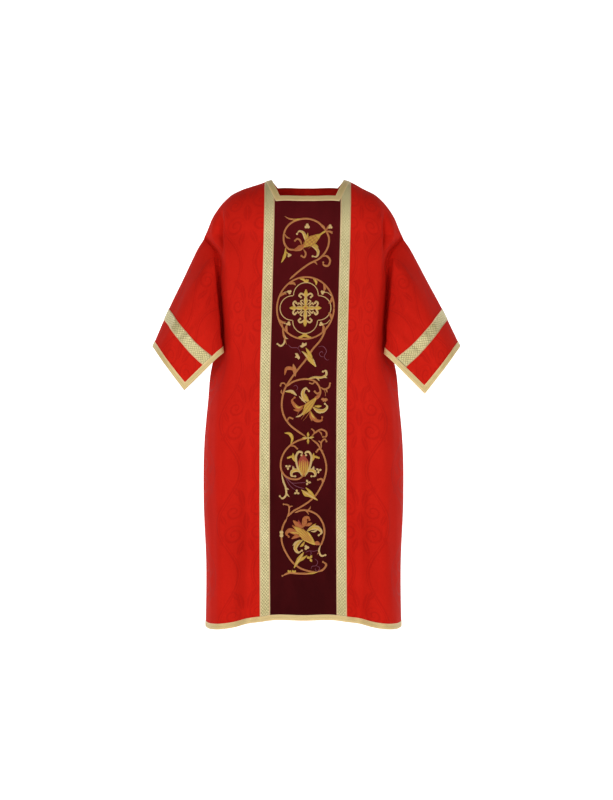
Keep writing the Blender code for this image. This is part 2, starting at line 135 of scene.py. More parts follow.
SECTIONS = np.array([
    # height, depth mid and edge, then x and depth of trough, flank, crest, wall, seam, beyond
    (-0.147, 0.106, 0.102, 0.145, 0.098, 0.178, 0.090, 0.205, 0.076, 0.230, 0.052, 0.260, 0.006, 0.230, -0.052),
    (-0.200, 0.112, 0.108, 0.145, 0.106, 0.175, 0.103, 0.200, 0.096, 0.2135, 0.078, 0.2235, 0.044, 0.2385, 0.048),
    (-0.270, 0.117, 0.113, 0.145, 0.111, 0.173, 0.109, 0.197, 0.103, 0.2115, 0.084, 0.2205, 0.043, 0.2335, 0.060),
    (-0.340, 0.119, 0.115, 0.145, 0.113, 0.170, 0.111, 0.192, 0.106, 0.2055, 0.086, 0.217, 0.041, 0.228, 0.062),
    (-0.400, 0.120, 0.116, 0.144, 0.114, 0.168, 0.112, 0.189, 0.107, 0.2025, 0.084, 0.2165, 0.036, 0.228, 0.040),
    (-0.447, 0.121, 0.117, 0.143, 0.114, 0.166, 0.113, 0.187, 0.108, 0.203, 0.079, 0.228, 0.016, 0.230, -0.030),
    (-0.470, 0.122, 0.118, 0.142, 0.115, 0.168, 0.114, 0.188, 0.108, 0.206, 0.078, 0.237, 0.000, 0.206, -0.078),
    (-0.504, 0.123, 0.119, 0.142, 0.115, 0.170, 0.116, 0.193, 0.111, 0.216, 0.078, 0.2453, 0.000, 0.216, -0.078),
    (-0.584, 0.125, 0.120, 0.141, 0.116, 0.174, 0.121, 0.203, 0.118, 0.231, 0.083, 0.2533, 0.000, 0.231, -0.083),
    (-0.700, 0.127, 0.122, 0.141, 0.116, 0.177, 0.128, 0.209, 0.127, 0.240, 0.090, 0.2635, 0.000, 0.240, -0.090),
    (-0.850, 0.129, 0.124, 0.143, 0.116, 0.180, 0.136, 0.213, 0.139, 0.244, 0.100, 0.2653, 0.000, 0.244, -0.100),
    (-1.020, 0.131, 0.126, 0.145, 0.118, 0.182, 0.144, 0.213, 0.149, 0.241, 0.110, 0.2585, 0.000, 0.241, -0.110),
    (-1.200, 0.133, 0.128, 0.147, 0.120, 0.184, 0.150, 0.214, 0.157, 0.242, 0.118, 0.260, 0.000, 0.242, -0.118),
])
PANEL_STEP = 0.0005  # how much lower the cloth lies just outside the galloon
LEAN = ((0.02, 0.0115), (-0.06, 0.0110), (-0.28, 0.006), (-0.50, 0.0005), (-0.80, -0.0013), (-1.20, 0.0))
LEAN_FADE = 0.055  # the lean dies out over this much cloth beyond the galloon
ACROSS = np.append(LINES[:, 0], 2 * SEAM - LINES[-2, 0])
print(len(SECTIONS), "sections from", SECTIONS[0, 0], "down to", SECTIONS[-1, 0])

# %% Points of the body
def section(axis, z, a):
    """Distance from the middle (axis 0) or depth (axis 1) of the half section."""
    row = through(-SECTIONS[:, 0], SECTIONS, -np.minimum(z, SHOULDER_END))
    if axis == 0:
        flat = np.zeros(len(row))
        knots = np.stack([flat, flat + PANEL_HALF, flat + GALLOON_OUT, *row[:, 3::2].T], axis=1)
        far = -knots[:, 1:2]
    else:
        row[:, 14] = np.maximum(row[:, 14], 0)
        knots = np.stack([row[:, 1], row[:, 2], row[:, 2] - PANEL_STEP, *row[:, 4::2].T], axis=1)
        far = knots[:, 1:2]
    return along(np.append(-PANEL_HALF, ACROSS), np.hstack([far, knots]), a)


def shoulder_lines(a):
    """Height of the ridge, drop of its rounding and height of the hem."""
    top_x = section(0, np.full_like(a, SHOULDER_END), a)
    ridge = through(SHOULDER[:, 0], SHOULDER[:, 1], top_x)
    rounding, hem = through(LINES[:, 0], LINES[:, 1:], a).T
    return ridge, rounding, hem


def lean(z):
    return through([-h for h, _ in LEAN], [x for _, x in LEAN], -z)


def body_points(face, across, down):
    """Points of the body. down runs 0-1 over the shoulder and 1-2 to the hem."""
    shape = np.shape(across)
    across, down = np.ravel(across), np.ravel(down)
    a = np.minimum(np.abs(across), SEAM)
    ridge, rounding, hem = shoulder_lines(a)
    angle = np.minimum(down, 1) * math.pi / 2
    z = np.where(down > 1, ridge - rounding + (hem - ridge + rounding) * (down - 1),
                 ridge - rounding * (1 - np.cos(angle)))
    depth = section(1, z, a) * np.sin(angle)
    fade = np.clip((a - GALLOON_OUT) / LEAN_FADE, 0, 1)
    x = np.where(across < 0, -1, 1) * section(0, z, a) + lean(z) * (1 - fade * fade * (3 - 2 * fade))
    y = depth * BACK_DEPTH if face == "back" else -depth
    return np.stack([x, y, z], axis=-1).reshape(*shape, 3)


def down_of(drop):
    """Angle coordinate over the shoulder for a share of the rounding's drop."""
    return np.where(drop > 1, drop, np.arccos(1 - np.clip(drop, 0, 1)) / (math.pi / 2))


def down_at(z):
    """The coordinate down the cloth at height z on the seam line."""
    ridge, rounding, hem = (float(v[0]) for v in shoulder_lines(np.array([SEAM])))
    if z > ridge - rounding:
        return float(down_of((ridge - z) / rounding))
    return 1 + (ridge - rounding - z) / (ridge - rounding - hem)


heights = np.array([-0.3, -0.7, -1.1])
print("half widths at heights", heights, "are", np.round(section(0, heights, np.full(3, SEAM)), 3))

# %% [markdown]
# ## The form of the sleeves
# A sleeve is a cone of cloth from the armhole to the hem. It turns outwards
# from the seam, lips over the crease and hangs down the arm. Its under edges
# aren't sewn, so the front and back flaps end in a point.

# %% Sleeve form
SLEEVES = np.array([
    # round, height at the seam, then x, depth and height of turn, lip, upper, lower, hem
    (0.00, -0.147, 0.2675, 0.000, -0.159, 0.2853, 0.000, -0.187, 0.324, 0.000, -0.264,
     0.3647, 0.000, -0.344, 0.4093, 0.000, -0.441),
    (0.20, -0.190, 0.238, 0.048, -0.197, 0.248, 0.059, -0.212, 0.288, 0.076, -0.273,
     0.337, 0.071, -0.361, 0.397, 0.052, -0.456),
    (0.45, -0.270, 0.2325, 0.055, -0.273, 0.2325, 0.077, -0.281, 0.268, 0.101, -0.323,
     0.314, 0.096, -0.400, 0.372, 0.082, -0.490),
    (0.72, -0.360, 0.227, 0.053, -0.362, 0.224, 0.080, -0.367, 0.249, 0.105, -0.397,
     0.289, 0.103, -0.450, 0.343, 0.092, -0.528),
    (1.00, -0.470, 0.2385, 0.045, -0.464, 0.212, 0.088, -0.460, 0.231, 0.107, -0.480,
     0.268, 0.106, -0.517, 0.3156, 0.094, -0.5635),
])
GIRTH = {"hem": 0.160, "seam": 0.400}
UNEVEN = {"top_out": 0.008, "edge_out": 0.003, "edge_down": 0.0045}
BACK_EDGE = {"up": 0.022, "out": 0.009}
BAND_DIP = np.array([(0.0, 0.002), (0.2, 0.0078), (0.5, 0.0062), (0.8, 0.001), (1.0, -0.007)])
BAND_TOP = BAND_UP + SLEEVE_BAND
SEAM_TOP = float(shoulder_lines(np.array([SEAM]))[0][0])
SEAM_DOWN = np.array([down_at(z) for z in np.linspace(SEAM_TOP - 1e-7, UNDERARM, 81)])  # just below the top
SLEEVES[0, 1] = SEAM_TOP  # the seam starts on the ridge, where front and back meet
EDGE = 0.9  # pattern coordinate where the braid on the open edge ends
print("the sleeve seam runs from", round(SEAM_TOP, 3), "down to", UNDERARM)

# %% Lines of the sleeve
def round_of(c, up):
    """Share of the way round the arm, where the edge braid keeps its width."""
    share = BRAID / (GIRTH["hem"] + (GIRTH["seam"] - GIRTH["hem"]) * up / 2)
    inside = np.abs(c) / EDGE * (1 - share)
    outside = 1 - (1 - np.abs(c)) / (1 - EDGE) * share
    return np.sign(c) * np.where(np.abs(c) > EDGE, outside, inside)


def sleeve_lines(q):
    """Points of the sleeve's lines from the body, over the seam, to the hem."""
    mirror = SLEEVES[1].copy()
    mirror[0] *= -1
    mirror[3::3] *= -1
    row = through(np.append(mirror[0], SLEEVES[:, 0]), np.vstack([mirror, SLEEVES]), q)
    share = (row[:, 1] - SEAM_TOP) / (UNDERARM - SEAM_TOP) * (len(SEAM_DOWN) - 1)
    down = np.interp(share, np.arange(len(SEAM_DOWN)), SEAM_DOWN)
    seam = body_points("front", np.full_like(q, SEAM), down)
    before = body_points("front", np.full_like(q, LINES[-2, 0]), down)
    points = row[:, 2:].reshape(len(q), -1, 3)
    points[:, :, 1] *= -1
    return np.concatenate([before[:, None], seam[:, None], points], axis=1)


ROUND_STEPS, LENGTH_STEPS = 97, 65


def dense_lines():
    """Every line of the sleeve from hem to seam, and the length run along it."""
    lines = sleeve_lines(np.linspace(0, 1, ROUND_STEPS))
    knots = np.linspace(-1, lines.shape[1] - 2, lines.shape[1])
    u = np.linspace(0, knots[-1], LENGTH_STEPS)
    dense = np.swapaxes(through(knots, np.moveaxis(lines, 1, 0), u), 0, 1)[::-1]
    step = np.linalg.norm(np.diff(dense, axis=0), axis=2)
    run = np.vstack([np.zeros(ROUND_STEPS), np.cumsum(step, axis=0)])
    return dense, run


DENSE, RUN = dense_lines()
print(f"a sleeve is {RUN[-1, 0]:.3f} m long over the arm and {RUN[-1, -1]:.3f} m under it")

# %% Points of the sleeve
def sleeve_points(side, around, up):
    """around: -1 front lower edge, 0 top, 1 back lower edge. up: 0-1 from the
    hem to the top of the band, 1-2 on to the armhole."""
    shape = np.shape(around)
    around, up = np.ravel(around), np.ravel(up)
    q = np.abs(around) * (ROUND_STEPS - 1)
    i = np.minimum(q.astype(int), ROUND_STEPS - 2)
    part = (q - i)[:, None]
    band_top = BAND_TOP - through(BAND_DIP[:, 0], BAND_DIP[:, 1], np.abs(around))

    def on_line(line):
        total = RUN[-1, line]
        distance = np.where(up < 1, up * band_top, band_top + (total - band_top) * (up - 1))
        spot = np.sum(RUN[:, line] <= distance, axis=0).clip(1, LENGTH_STEPS - 1)
        low, high = RUN[spot - 1, line], RUN[spot, line]
        t = ((distance - low) / (high - low))[:, None]
        return DENSE[spot - 1, line] * (1 - t) + DENSE[spot, line] * t, 1 - distance / total

    one, hemward_one = on_line(i)
    two, hemward_two = on_line(i + 1)
    p = one * (1 - part) + two * part
    hemward = hemward_one * (1 - part[:, 0]) + hemward_two * part[:, 0]
    edge = np.abs(around)
    p[:, 0] += side * (UNEVEN["top_out"] * (1 - edge) + UNEVEN["edge_out"] * edge) * hemward
    p[:, 2] -= side * UNEVEN["edge_down"] * edge * hemward
    behind = np.where(around > 0, edge ** 2 * np.minimum(1, 2 * hemward), 0)
    p[:, 0] = side * (p[:, 0] + BACK_EDGE["out"] * behind)
    p[:, 2] += BACK_EDGE["up"] * behind
    p[:, 1] *= np.where(around > 0, -BACK_DEPTH, 1.0)
    return p.reshape(*shape, 3)


print("lowest point of a sleeve:", np.round(sleeve_points(1, -1.0, 0.0), 3))

# %% [markdown]
# ## Creases
# Cloth that has hung and been worn isn't even. Each crease is given on the coordinates of its piece: where it
# starts and ends, how wide and deep it is, and how far its middle bows aside. A negative depth is a hollow. Drag
# lines leave the underarm, the panel stays almost flat because its stitching stiffens it, and the back has its
# own set.

# %% Crease tables
BODY_CREASES = {
    # across, height of the start; across, height of the end; half width; depth; bow
    "front": (
        (0.128, -0.10, 0.150, -0.44, 0.016, -0.0022, 0.006),
        (0.170, -0.16, 0.178, -0.40, 0.012, 0.0016, 0.004),
        (0.205, -0.47, 0.150, -0.78, 0.013, -0.003, 0.010),
        (0.236, -0.50, 0.215, -0.90, 0.011, 0.0024, -0.008),
        (0.160, -0.62, 0.146, -1.14, 0.017, -0.0034, 0.006),
        (0.228, -0.72, 0.246, -1.13, 0.012, -0.0026, 0.005),
        (0.190, -0.98, 0.198, -1.20, 0.013, 0.0022, 0.000),
        (0.262, -0.60, 0.268, -1.02, 0.009, 0.002, 0.004),
        (-0.132, -0.12, -0.143, -0.36, 0.015, -0.0018, -0.005),
        (-0.176, -0.20, -0.166, -0.46, 0.011, 0.0014, -0.006),
        (-0.210, -0.48, -0.168, -0.74, 0.012, -0.0026, -0.012),
        (-0.232, -0.56, -0.200, -1.00, 0.012, 0.0026, 0.007),
        (-0.152, -0.70, -0.140, -1.10, 0.016, -0.003, -0.004),
        (-0.242, -0.84, -0.236, -1.17, 0.011, -0.0024, -0.004),
        (-0.182, -1.02, -0.176, -1.20, 0.012, 0.002, 0.003),
        (-0.265, -0.55, -0.262, -0.93, 0.009, 0.0016, -0.005),
        (0.030, -0.58, 0.052, -1.02, 0.030, -0.001, 0.006),
        (-0.040, -0.66, -0.028, -1.08, 0.028, 0.0009, -0.004),
        (-0.060, -0.07, 0.050, -0.10, 0.016, 0.0006, 0.006),
        (0.215, -0.085, 0.160, -0.13, 0.012, -0.0014, 0.004),
        (-0.212, -0.080, -0.165, -0.14, 0.012, -0.0012, -0.004),
        (-0.228, -0.100, -0.236, -0.180, 0.009, -0.017, 0.000),
        (0.224, -0.102, 0.233, -0.180, 0.009, -0.016, 0.000),
        (-0.252, -0.108, -0.256, -0.17, 0.009, 0.0045, 0.000),
        (0.247, -0.110, 0.254, -0.17, 0.009, 0.0045, 0.000),
    ),
    "back": (
        (0.010, -0.30, 0.022, -1.16, 0.022, -0.0048, 0.012),
        (-0.060, -0.22, -0.072, -1.05, 0.017, 0.004, -0.010),
        (0.078, -0.26, 0.092, -1.10, 0.018, 0.0044, 0.008),
        (0.128, -0.36, 0.138, -0.98, 0.015, -0.004, -0.006),
        (-0.118, -0.40, -0.130, -1.16, 0.016, -0.0046, 0.008),
        (-0.172, -0.48, -0.160, -1.14, 0.014, 0.0036, 0.006),
        (0.184, -0.50, 0.170, -1.17, 0.014, 0.004, -0.008),
        (0.222, -0.62, 0.226, -1.12, 0.011, -0.003, 0.004),
        (-0.218, -0.58, -0.226, -1.06, 0.012, -0.003, -0.005),
        (-0.255, -0.66, -0.258, -1.15, 0.009, 0.002, 0.000),
        (-0.090, -0.06, 0.080, -0.09, 0.014, -0.0018, 0.010),
        (0.045, -0.62, 0.050, -1.19, 0.013, 0.0024, -0.004),
        (0.150, -0.12, 0.185, -0.34, 0.014, 0.0022, 0.005),
        (-0.155, -0.13, -0.182, -0.38, 0.013, 0.002, -0.005),
    ),
}
SLEEVE_CREASES = {
    # round, up of the start; round, up of the end; half width; depth; bow. A negative round is the front.
    1: (
        (-0.55, 1.95, -0.40, 0.90, 0.050, -0.0024, 0.06),
        (-0.30, 1.90, -0.16, 1.05, 0.045, 0.002, -0.04),
        (-0.78, 1.80, -0.70, 0.55, 0.040, 0.0022, 0.03),
        (-0.12, 1.60, -0.22, 0.10, 0.050, -0.0016, 0.03),
        (-0.90, 1.70, -0.86, 1.10, 0.030, -0.0016, 0.02),
        (-0.48, 0.80, -0.56, 0.02, 0.055, 0.0016, 0.02),
        (0.30, 1.92, 0.24, 0.70, 0.050, -0.0034, -0.05),
        (0.55, 1.90, 0.46, 0.20, 0.045, 0.003, 0.05),
        (0.78, 1.85, 0.72, 0.40, 0.040, -0.0028, 0.03),
        (0.12, 1.70, 0.10, 0.30, 0.040, 0.0016, 0.02),
    ),
    -1: (
        (-0.50, 1.92, -0.44, 0.80, 0.048, -0.0022, 0.05),
        (-0.26, 1.85, -0.20, 0.95, 0.042, 0.0016, -0.05),
        (-0.72, 1.88, -0.64, 0.70, 0.045, 0.002, 0.04),
        (-0.10, 1.50, -0.16, 0.15, 0.055, -0.0014, 0.02),
        (-0.88, 1.75, -0.90, 1.00, 0.032, -0.0014, -0.02),
        (-0.36, 0.70, -0.42, 0.02, 0.055, 0.0014, 0.03),
        (0.26, 1.90, 0.30, 0.60, 0.048, -0.003, 0.05),
        (0.50, 1.88, 0.52, 0.30, 0.046, 0.0032, -0.04),
        (0.74, 1.84, 0.80, 0.50, 0.042, -0.0026, 0.03),
        (0.10, 1.60, 0.14, 0.20, 0.042, 0.0018, 0.02),
    ),
}
print("creases set by hand:", {k: len(v) for k, v in BODY_CREASES.items()},
      {k: len(v) for k, v in SLEEVE_CREASES.items()})

# %% How a crease moves the cloth
CREASE_ENDS = 0.07  # a crease is half a sine wave long, less this share at each end
CREASE_BLUNT = 0.7  # below 1 makes the deep middle longer
CREASE_FADE = 1.6  # how many half widths it takes to die out beyond its end


def creased(table, a, b, stretch):
    """How far the cloth moves out at coordinates a and b, where stretch turns b
    into the same units as a."""
    out = np.zeros(np.shape(a))
    for a0, b0, a1, b1, width, depth, bow in table:
        run, rise = a1 - a0, (b1 - b0) * stretch
        length = math.hypot(run, rise)
        s = ((a - a0) * run + (b - b0) * stretch * rise) / length
        t = np.clip(s / length, 0, 1)
        beside = ((a - a0) * rise - (b - b0) * stretch * run) / length - bow * 4 * t * (1 - t)
        beyond = np.maximum(0, np.maximum(-s, s - length))
        swell = np.sin(math.pi * (CREASE_ENDS + (1 - 2 * CREASE_ENDS) * t)) ** CREASE_BLUNT
        out += depth * swell * np.exp(-(beside / width) ** 2 - (beyond / (CREASE_FADE * width)) ** 2)
    return out


sample = creased(((0, 0, 0, 1, 0.010, 0.003, 0),), np.array([0.0, 0.010]), np.array([0.5, 0.5]), 1)
print("a crease 3 mm high, at its middle and one half width aside, in mm:", np.round(sample * 1000, 2))

# %% [markdown]
# ## Laying a pattern on the form
# A piece is a grid of pattern coordinates. Its form gives a point for each,
# and neighbouring points give the cloth's own outward direction, which the
# creases and the thickness follow. What lies on the cloth is made from the
# same points, moved out a little further.

# %% Laying
# Over how much of its coordinate a crease dies out before each edge
SEAM_EASE, RIDGE_EASE, ARMHOLE_EASE = 0.03, 0.3, 0.2
UP_TO_ROUND = 0.6  # turns a sleeve's length coordinate into the unit of the one round it


def lay_body(face, across, down):
    facing = -1 if face == "front" else 1
    step = 4e-4
    points = body_points(face, across, down)
    aside = np.where(across > 0, -step, step)
    below = np.where(down > 1.5, -step, step)
    side = (body_points(face, across + aside, down) - points) * np.sign(aside)[..., None]
    fall = (body_points(face, across, down + below) - points) * np.sign(below)[..., None]
    normal = np.cross(side, fall)
    normal *= facing / np.maximum(np.linalg.norm(normal, axis=-1, keepdims=True), 1e-15)
    hold = np.clip((SEAM - np.abs(across)) / SEAM_EASE, 0, 1) * np.clip(down / RIDGE_EASE, 0, 1)
    lift = creased(BODY_CREASES[face], across, points[..., 2], 1) * hold
    return points + normal * lift[..., None], normal


def lay_sleeve(side, c, up):
    around = round_of(c, up)
    points = sleeve_points(side, around, up)
    step = 2e-3
    aside = np.where(around > 0, -step, step)
    above = np.where(up > 1, -step, step)
    run = (sleeve_points(side, around + aside, up) - points) * np.sign(aside)[..., None]
    rise = (sleeve_points(side, around, up + above) - points) * np.sign(above)[..., None]
    normal = np.cross(run, rise)
    normal *= side / np.maximum(np.linalg.norm(normal, axis=-1, keepdims=True), 1e-15)
    hold = np.clip((2 - up) / ARMHOLE_EASE, 0, 1)
    lift = creased(SLEEVE_CREASES[side], around, up, UP_TO_ROUND) * hold
    return points + normal * lift[..., None], normal


def lengths(points, axis):
    """Distance run along the grid, for the pattern's flat measure in metres."""
    step = np.linalg.norm(np.diff(points, axis=axis), axis=2)
    start = np.zeros_like(np.take(step, [0], axis=axis))
    return np.concatenate([start, np.cumsum(step, axis=axis)], axis=axis)


probe, outward = lay_body("front", np.array([0.0]), np.array([1.5]))
print("middle of the chest:", np.round(probe[0], 3), "facing", np.round(outward[0], 2))

# %% Shells
def add_mesh(name, vertices, faces, flat, material):
    """A mesh object with its pattern coordinates in metres as its UV map."""
    mesh = bpy.data.meshes.new(name)
    mesh.from_pydata([tuple(v) for v in vertices], [], faces)
    corners = np.empty(len(mesh.loops), np.int32)
    mesh.loops.foreach_get("vertex_index", corners)
    mesh.uv_layers.new(name="pattern").data.foreach_set("uv", np.asarray(flat)[corners].ravel())
    mesh.polygons.foreach_set("use_smooth", [True] * len(mesh.polygons))
    mesh.materials.append(material)
    made = bpy.data.objects.new(name, mesh)
    bpy.context.scene.collection.objects.link(made)
    return made


def shell(name, sheets, low, high, material):
    """One thin shell: each sheet is its points, outward normals and flat
    pattern coordinates, as grids."""
    vertices, faces, flat = [], [], []
    for points, normal, pattern in sheets:
        rows, columns = points.shape[:2]
        base = sum(len(v) for v in vertices)
        count = rows * columns
        index = np.arange(count).reshape(rows, columns)
        vertices += [(points + normal * high).reshape(-1, 3), (points + normal * low).reshape(-1, 3)]
        flat += [pattern.reshape(-1, 2)] * 2
        quads = np.stack([index[:-1, :-1], index[:-1, 1:], index[1:, 1:], index[1:, :-1]], -1).reshape(-1, 4)
        r, c = rows // 2, columns // 2
        turn = np.cross(points[r - 1, c] - points[r, c], points[r, c - 1] - points[r, c])
        if np.dot(turn, normal[r, c]) > 0:
            quads = quads[:, ::-1]
        rim = np.concatenate([index[0, :], index[1:, -1], index[-1, -2::-1], index[-2:0:-1, 0]])
        after = np.roll(rim, -1)
        sides = np.stack([rim, after, after + count, rim + count], -1)
        faces += (quads + base).tolist() + (quads[:, ::-1] + count + base).tolist() + (sides + base).tolist()
    return add_mesh(name, np.vstack(vertices), faces, np.vstack(flat), material)


def spaced(*runs):
    """Values through each (start, end, count) run, every join once."""
    parts = [np.linspace(a, b, n, endpoint=False) for a, b, n in runs]
    return np.append(np.concatenate(parts), runs[-1][1])


print("spaced values, close then wide:", np.round(spaced((0, 1, 4), (1, 3, 2)), 2))

# %% [markdown]
# ## Writing patterns as sums
# A weave is a pattern in two numbers, along and across the cloth. `Value`
# lets a node group be written as the sum that it is. Every group takes the
# pattern coordinates in metres, so a motif has its real size on each piece.

# %% Sums of nodes
class Value:
    """A number inside a node tree, which can be written in sums."""

    def __init__(self, tree, socket):
        self.tree, self.socket = tree, socket

    def math(self, kind, *others, clamp=False):
        node = self.tree.nodes.new("ShaderNodeMath")
        node.operation, node.use_clamp = kind, clamp
        for slot, value in zip(node.inputs, (self, *others)):
            if isinstance(value, Value):
                self.tree.links.new(value.socket, slot)
            else:
                slot.default_value = value
        return Value(self.tree, node.outputs[0])

    def __add__(self, other): return self.math("ADD", other)
    def __sub__(self, other): return self.math("SUBTRACT", other)
    def __mul__(self, other): return self.math("MULTIPLY", other)
    def __truediv__(self, other): return self.math("DIVIDE", other)
    def flip(self): return (self * -1) + 1
    def size(self): return self.math("ABSOLUTE")
    def wave(self): return (self * math.tau).math("SINE")
    def part(self): return self.math("FRACT")
    def least(self, other): return self.math("MINIMUM", other)
    def most(self, other): return self.math("MAXIMUM", other)
    def limited(self): return self.math("ADD", 0.0, clamp=True)
    def under(self, edge, soft): return ((self * -1 + edge) / soft + 0.5).limited()


print("sums can be written with:", sorted(k for k in vars(Value) if not k.startswith("__")))

# %% Node groups
def group(name, inputs, outputs):
    """A node group: inputs maps a name to its default, outputs lists names."""
    tree = bpy.data.node_groups.new(name, "ShaderNodeTree")
    tree.interface.new_socket("Pattern", in_out="INPUT", socket_type="NodeSocketVector")
    for label, default in inputs.items():
        kind = "NodeSocketColor" if isinstance(default, tuple) else "NodeSocketFloat"
        tree.interface.new_socket(label, in_out="INPUT", socket_type=kind).default_value = default
    for label in outputs:
        kind = "NodeSocketColor" if label.endswith("Color") else "NodeSocketFloat"
        tree.interface.new_socket(label, in_out="OUTPUT", socket_type=kind)
    return tree, tree.nodes.new("NodeGroupInput"), tree.nodes.new("NodeGroupOutput")


def across_along(tree, socket):
    node = tree.nodes.new("ShaderNodeSeparateXYZ")
    tree.links.new(socket, node.inputs[0])
    return Value(tree, node.outputs[0]), Value(tree, node.outputs[1])


def noise(tree, vector, scale, detail=2.0, stretch=None):
    if stretch:
        node = tree.nodes.new("ShaderNodeMapping")
        node.inputs["Scale"].default_value = stretch
        tree.links.new(vector, node.inputs["Vector"])
        vector = node.outputs[0]
    node = tree.nodes.new("ShaderNodeTexNoise")
    if isinstance(scale, Value):
        tree.links.new(scale.socket, node.inputs["Scale"])
    else:
        node.inputs["Scale"].default_value = scale
    node.inputs["Detail"].default_value = detail
    tree.links.new(vector, node.inputs["Vector"])
    return Value(tree, node.outputs["Fac"])


def blend(tree, factor, first, second):
    """Colour from first to second, each a socket or a colour."""
    node = tree.nodes.new("ShaderNodeMix")
    node.data_type = "RGBA"
    tree.links.new(factor.socket, node.inputs["Factor"])
    for slot, value in ((node.inputs[6], first), (node.inputs[7], second)):
        if isinstance(value, tuple):
            slot.default_value = (*value, 1)
        else:
            tree.links.new(value, slot)
    return node.outputs[2]


def finish_group(tree, out, **values):
    for label, value in values.items():
        socket = value.socket if isinstance(value, Value) else value
        tree.links.new(socket, out.inputs[label.replace("_", " ")])
    return tree


print("helpers for groups:", [f.__name__ for f in (group, across_along, noise, blend, finish_group)])

# %% [markdown]
# ## The damask figure
# Damask shows its figure by weave alone: satin where the warp lies on top, and
# duller twill between. The figure here is a large mirrored scroll with leaves
# inside a pointed frame, set half a step aside in every other column.

# %% Damask figure
def scroll(u, v, centre_u, centre_v, size, turns, hand):
    """A spiral band round a centre: 1 on the band, 0 off it."""
    du, dv = (u - centre_u) * hand, v - centre_v
    radius = (du * du + dv * dv).math("SQRT")
    angle = dv.math("ARCTAN2", du) / math.tau
    band = (radius * (turns / size) - angle).part() - 0.5
    return (band.size() / (radius * (turns / size) + 0.4)).under(0.13, 0.07) * radius.under(size, 0.006)


def leaf(u, v, centre_u, centre_v, length, width, tilt):
    """A pointed leaf with a vein: 1 on it, 0 off it."""
    du, dv = u - centre_u, v - centre_v
    along_it = du * math.cos(tilt) + dv * math.sin(tilt)
    beside = (dv * math.cos(tilt) - du * math.sin(tilt)).size()
    room = ((along_it / (length / 2)).math("POWER", 2.0).flip()) * (width / 2)
    return (beside - room).under(0.0, 0.0022) * (beside * -1).under(-0.0009, 0.0012)


REPEAT_WIDTH, REPEAT_LENGTH = 0.150, 0.270
FRAME_MIDDLE, FRAME_SWING = 0.046, 0.026  # where the waving frame lies beside the middle


def damask_figure():
    tree, start, out = group("Damask figure", {"Repeat Width": REPEAT_WIDTH, "Repeat Length": REPEAT_LENGTH},
                             ["Figure"])
    x, y = across_along(tree, start.outputs["Pattern"])
    wide, long = (Value(tree, start.outputs[k]) for k in ("Repeat Width", "Repeat Length"))
    column = (x / wide + 0.5).math("FLOOR")
    u = (x - column * wide).size()
    aside = (column * 0.5).part()
    v = ((y / long + aside).part() - 0.5) * long
    frame_line = ((v / REPEAT_LENGTH).size() * math.tau).math("COSINE") * FRAME_SWING + FRAME_MIDDLE
    shapes = [
        (u - frame_line).size().under(0.0022, 0.0016),
        (u - frame_line + 0.0065).size().under(0.0010, 0.0014),
        scroll(u, v, 0.030, -0.030, 0.024, 1.7, 1.0),
        scroll(u, v, 0.031, 0.030, 0.021, 1.6, -1.0),
        leaf(u, v, 0.012, 0.062, 0.052, 0.016, 1.35),
        leaf(u, v, 0.026, 0.082, 0.040, 0.013, 0.95),
        leaf(u, v, 0.0, 0.000, 0.050, 0.018, 1.571),
        leaf(u, v, 0.014, -0.066, 0.044, 0.014, 1.90),
        leaf(u, v, 0.055, 0.012, 0.034, 0.011, 1.20),
        leaf(u, v, 0.060, -0.040, 0.030, 0.010, 1.95),
    ]
    figure = shapes[0]
    for shape in shapes[1:]:
        figure = figure.most(shape)
    return finish_group(tree, out, Figure=figure)


GROUPS = {"figure": damask_figure()}
print(f"the damask repeats every {REPEAT_WIDTH * 1000:.0f} x {REPEAT_LENGTH * 1000:.0f} mm")

# %% [markdown]
# ## Threads and wear
# Three effects are shared by several cloths. The weave is a fine grid of
# threads with slubs. Handling leaves soft patches where the light catches the
# cloth differently. A line of stitches holds each trim down near its edge.

# %% Shared effects
def weave():
    tree, start, out = group("Plain weave", {"Thread": 0.0008}, ["Height", "Slub"])
    x, y = across_along(tree, start.outputs["Pattern"])
    thread = Value(tree, start.outputs["Thread"])
    grid = ((x / thread).wave() + (y / thread).wave()) * 0.25 + 0.5
    slub = noise(tree, start.outputs["Pattern"], 60, 3, stretch=(6, 0.5, 1))
    return finish_group(tree, out, Height=grid * 0.5 + slub * 0.5, Slub=slub)


def handling():
    tree, start, out = group("Soft handling", {}, ["Patches"])
    broad = noise(tree, start.outputs["Pattern"], 7, 3)
    fine = noise(tree, start.outputs["Pattern"], 38, 2, stretch=(1, 0.35, 1))
    speck = noise(tree, start.outputs["Pattern"], 190, 2)
    contrast = 3.2
    return finish_group(tree, out, Patches=(broad * 0.5 + fine * 0.25 + speck * 0.25 - 0.5) * contrast + 0.5)


def stitch_row():
    tree, start, out = group("Stitch row", {"Width": GALLOON, "Inset": 0.0016, "Stitch": 0.0034},
                             ["Stitches"])
    x, y = across_along(tree, start.outputs["Pattern"])
    width, inset, stitch = (Value(tree, start.outputs[k]) for k in ("Width", "Inset", "Stitch"))
    edge = x.least(width - x)
    line = (edge - inset).size().under(0.00035, 0.0003)
    return finish_group(tree, out, Stitches=line * ((y / stitch).part() - 0.5).size().under(0.34, 0.08))


GROUPS |= {"weave": weave(), "handling": handling(), "stitches": stitch_row()}
print("shared effects:", [g.name for g in GROUPS.values()])

# %% [markdown]
# ## Gold trims
# Galloon is woven on a narrow loom: metal threads pass over and under a silk
# ground and leave small diamonds, with a smooth selvedge down each side. The
# edge braid is plaited, so its ribs run slantwise both ways from the middle.

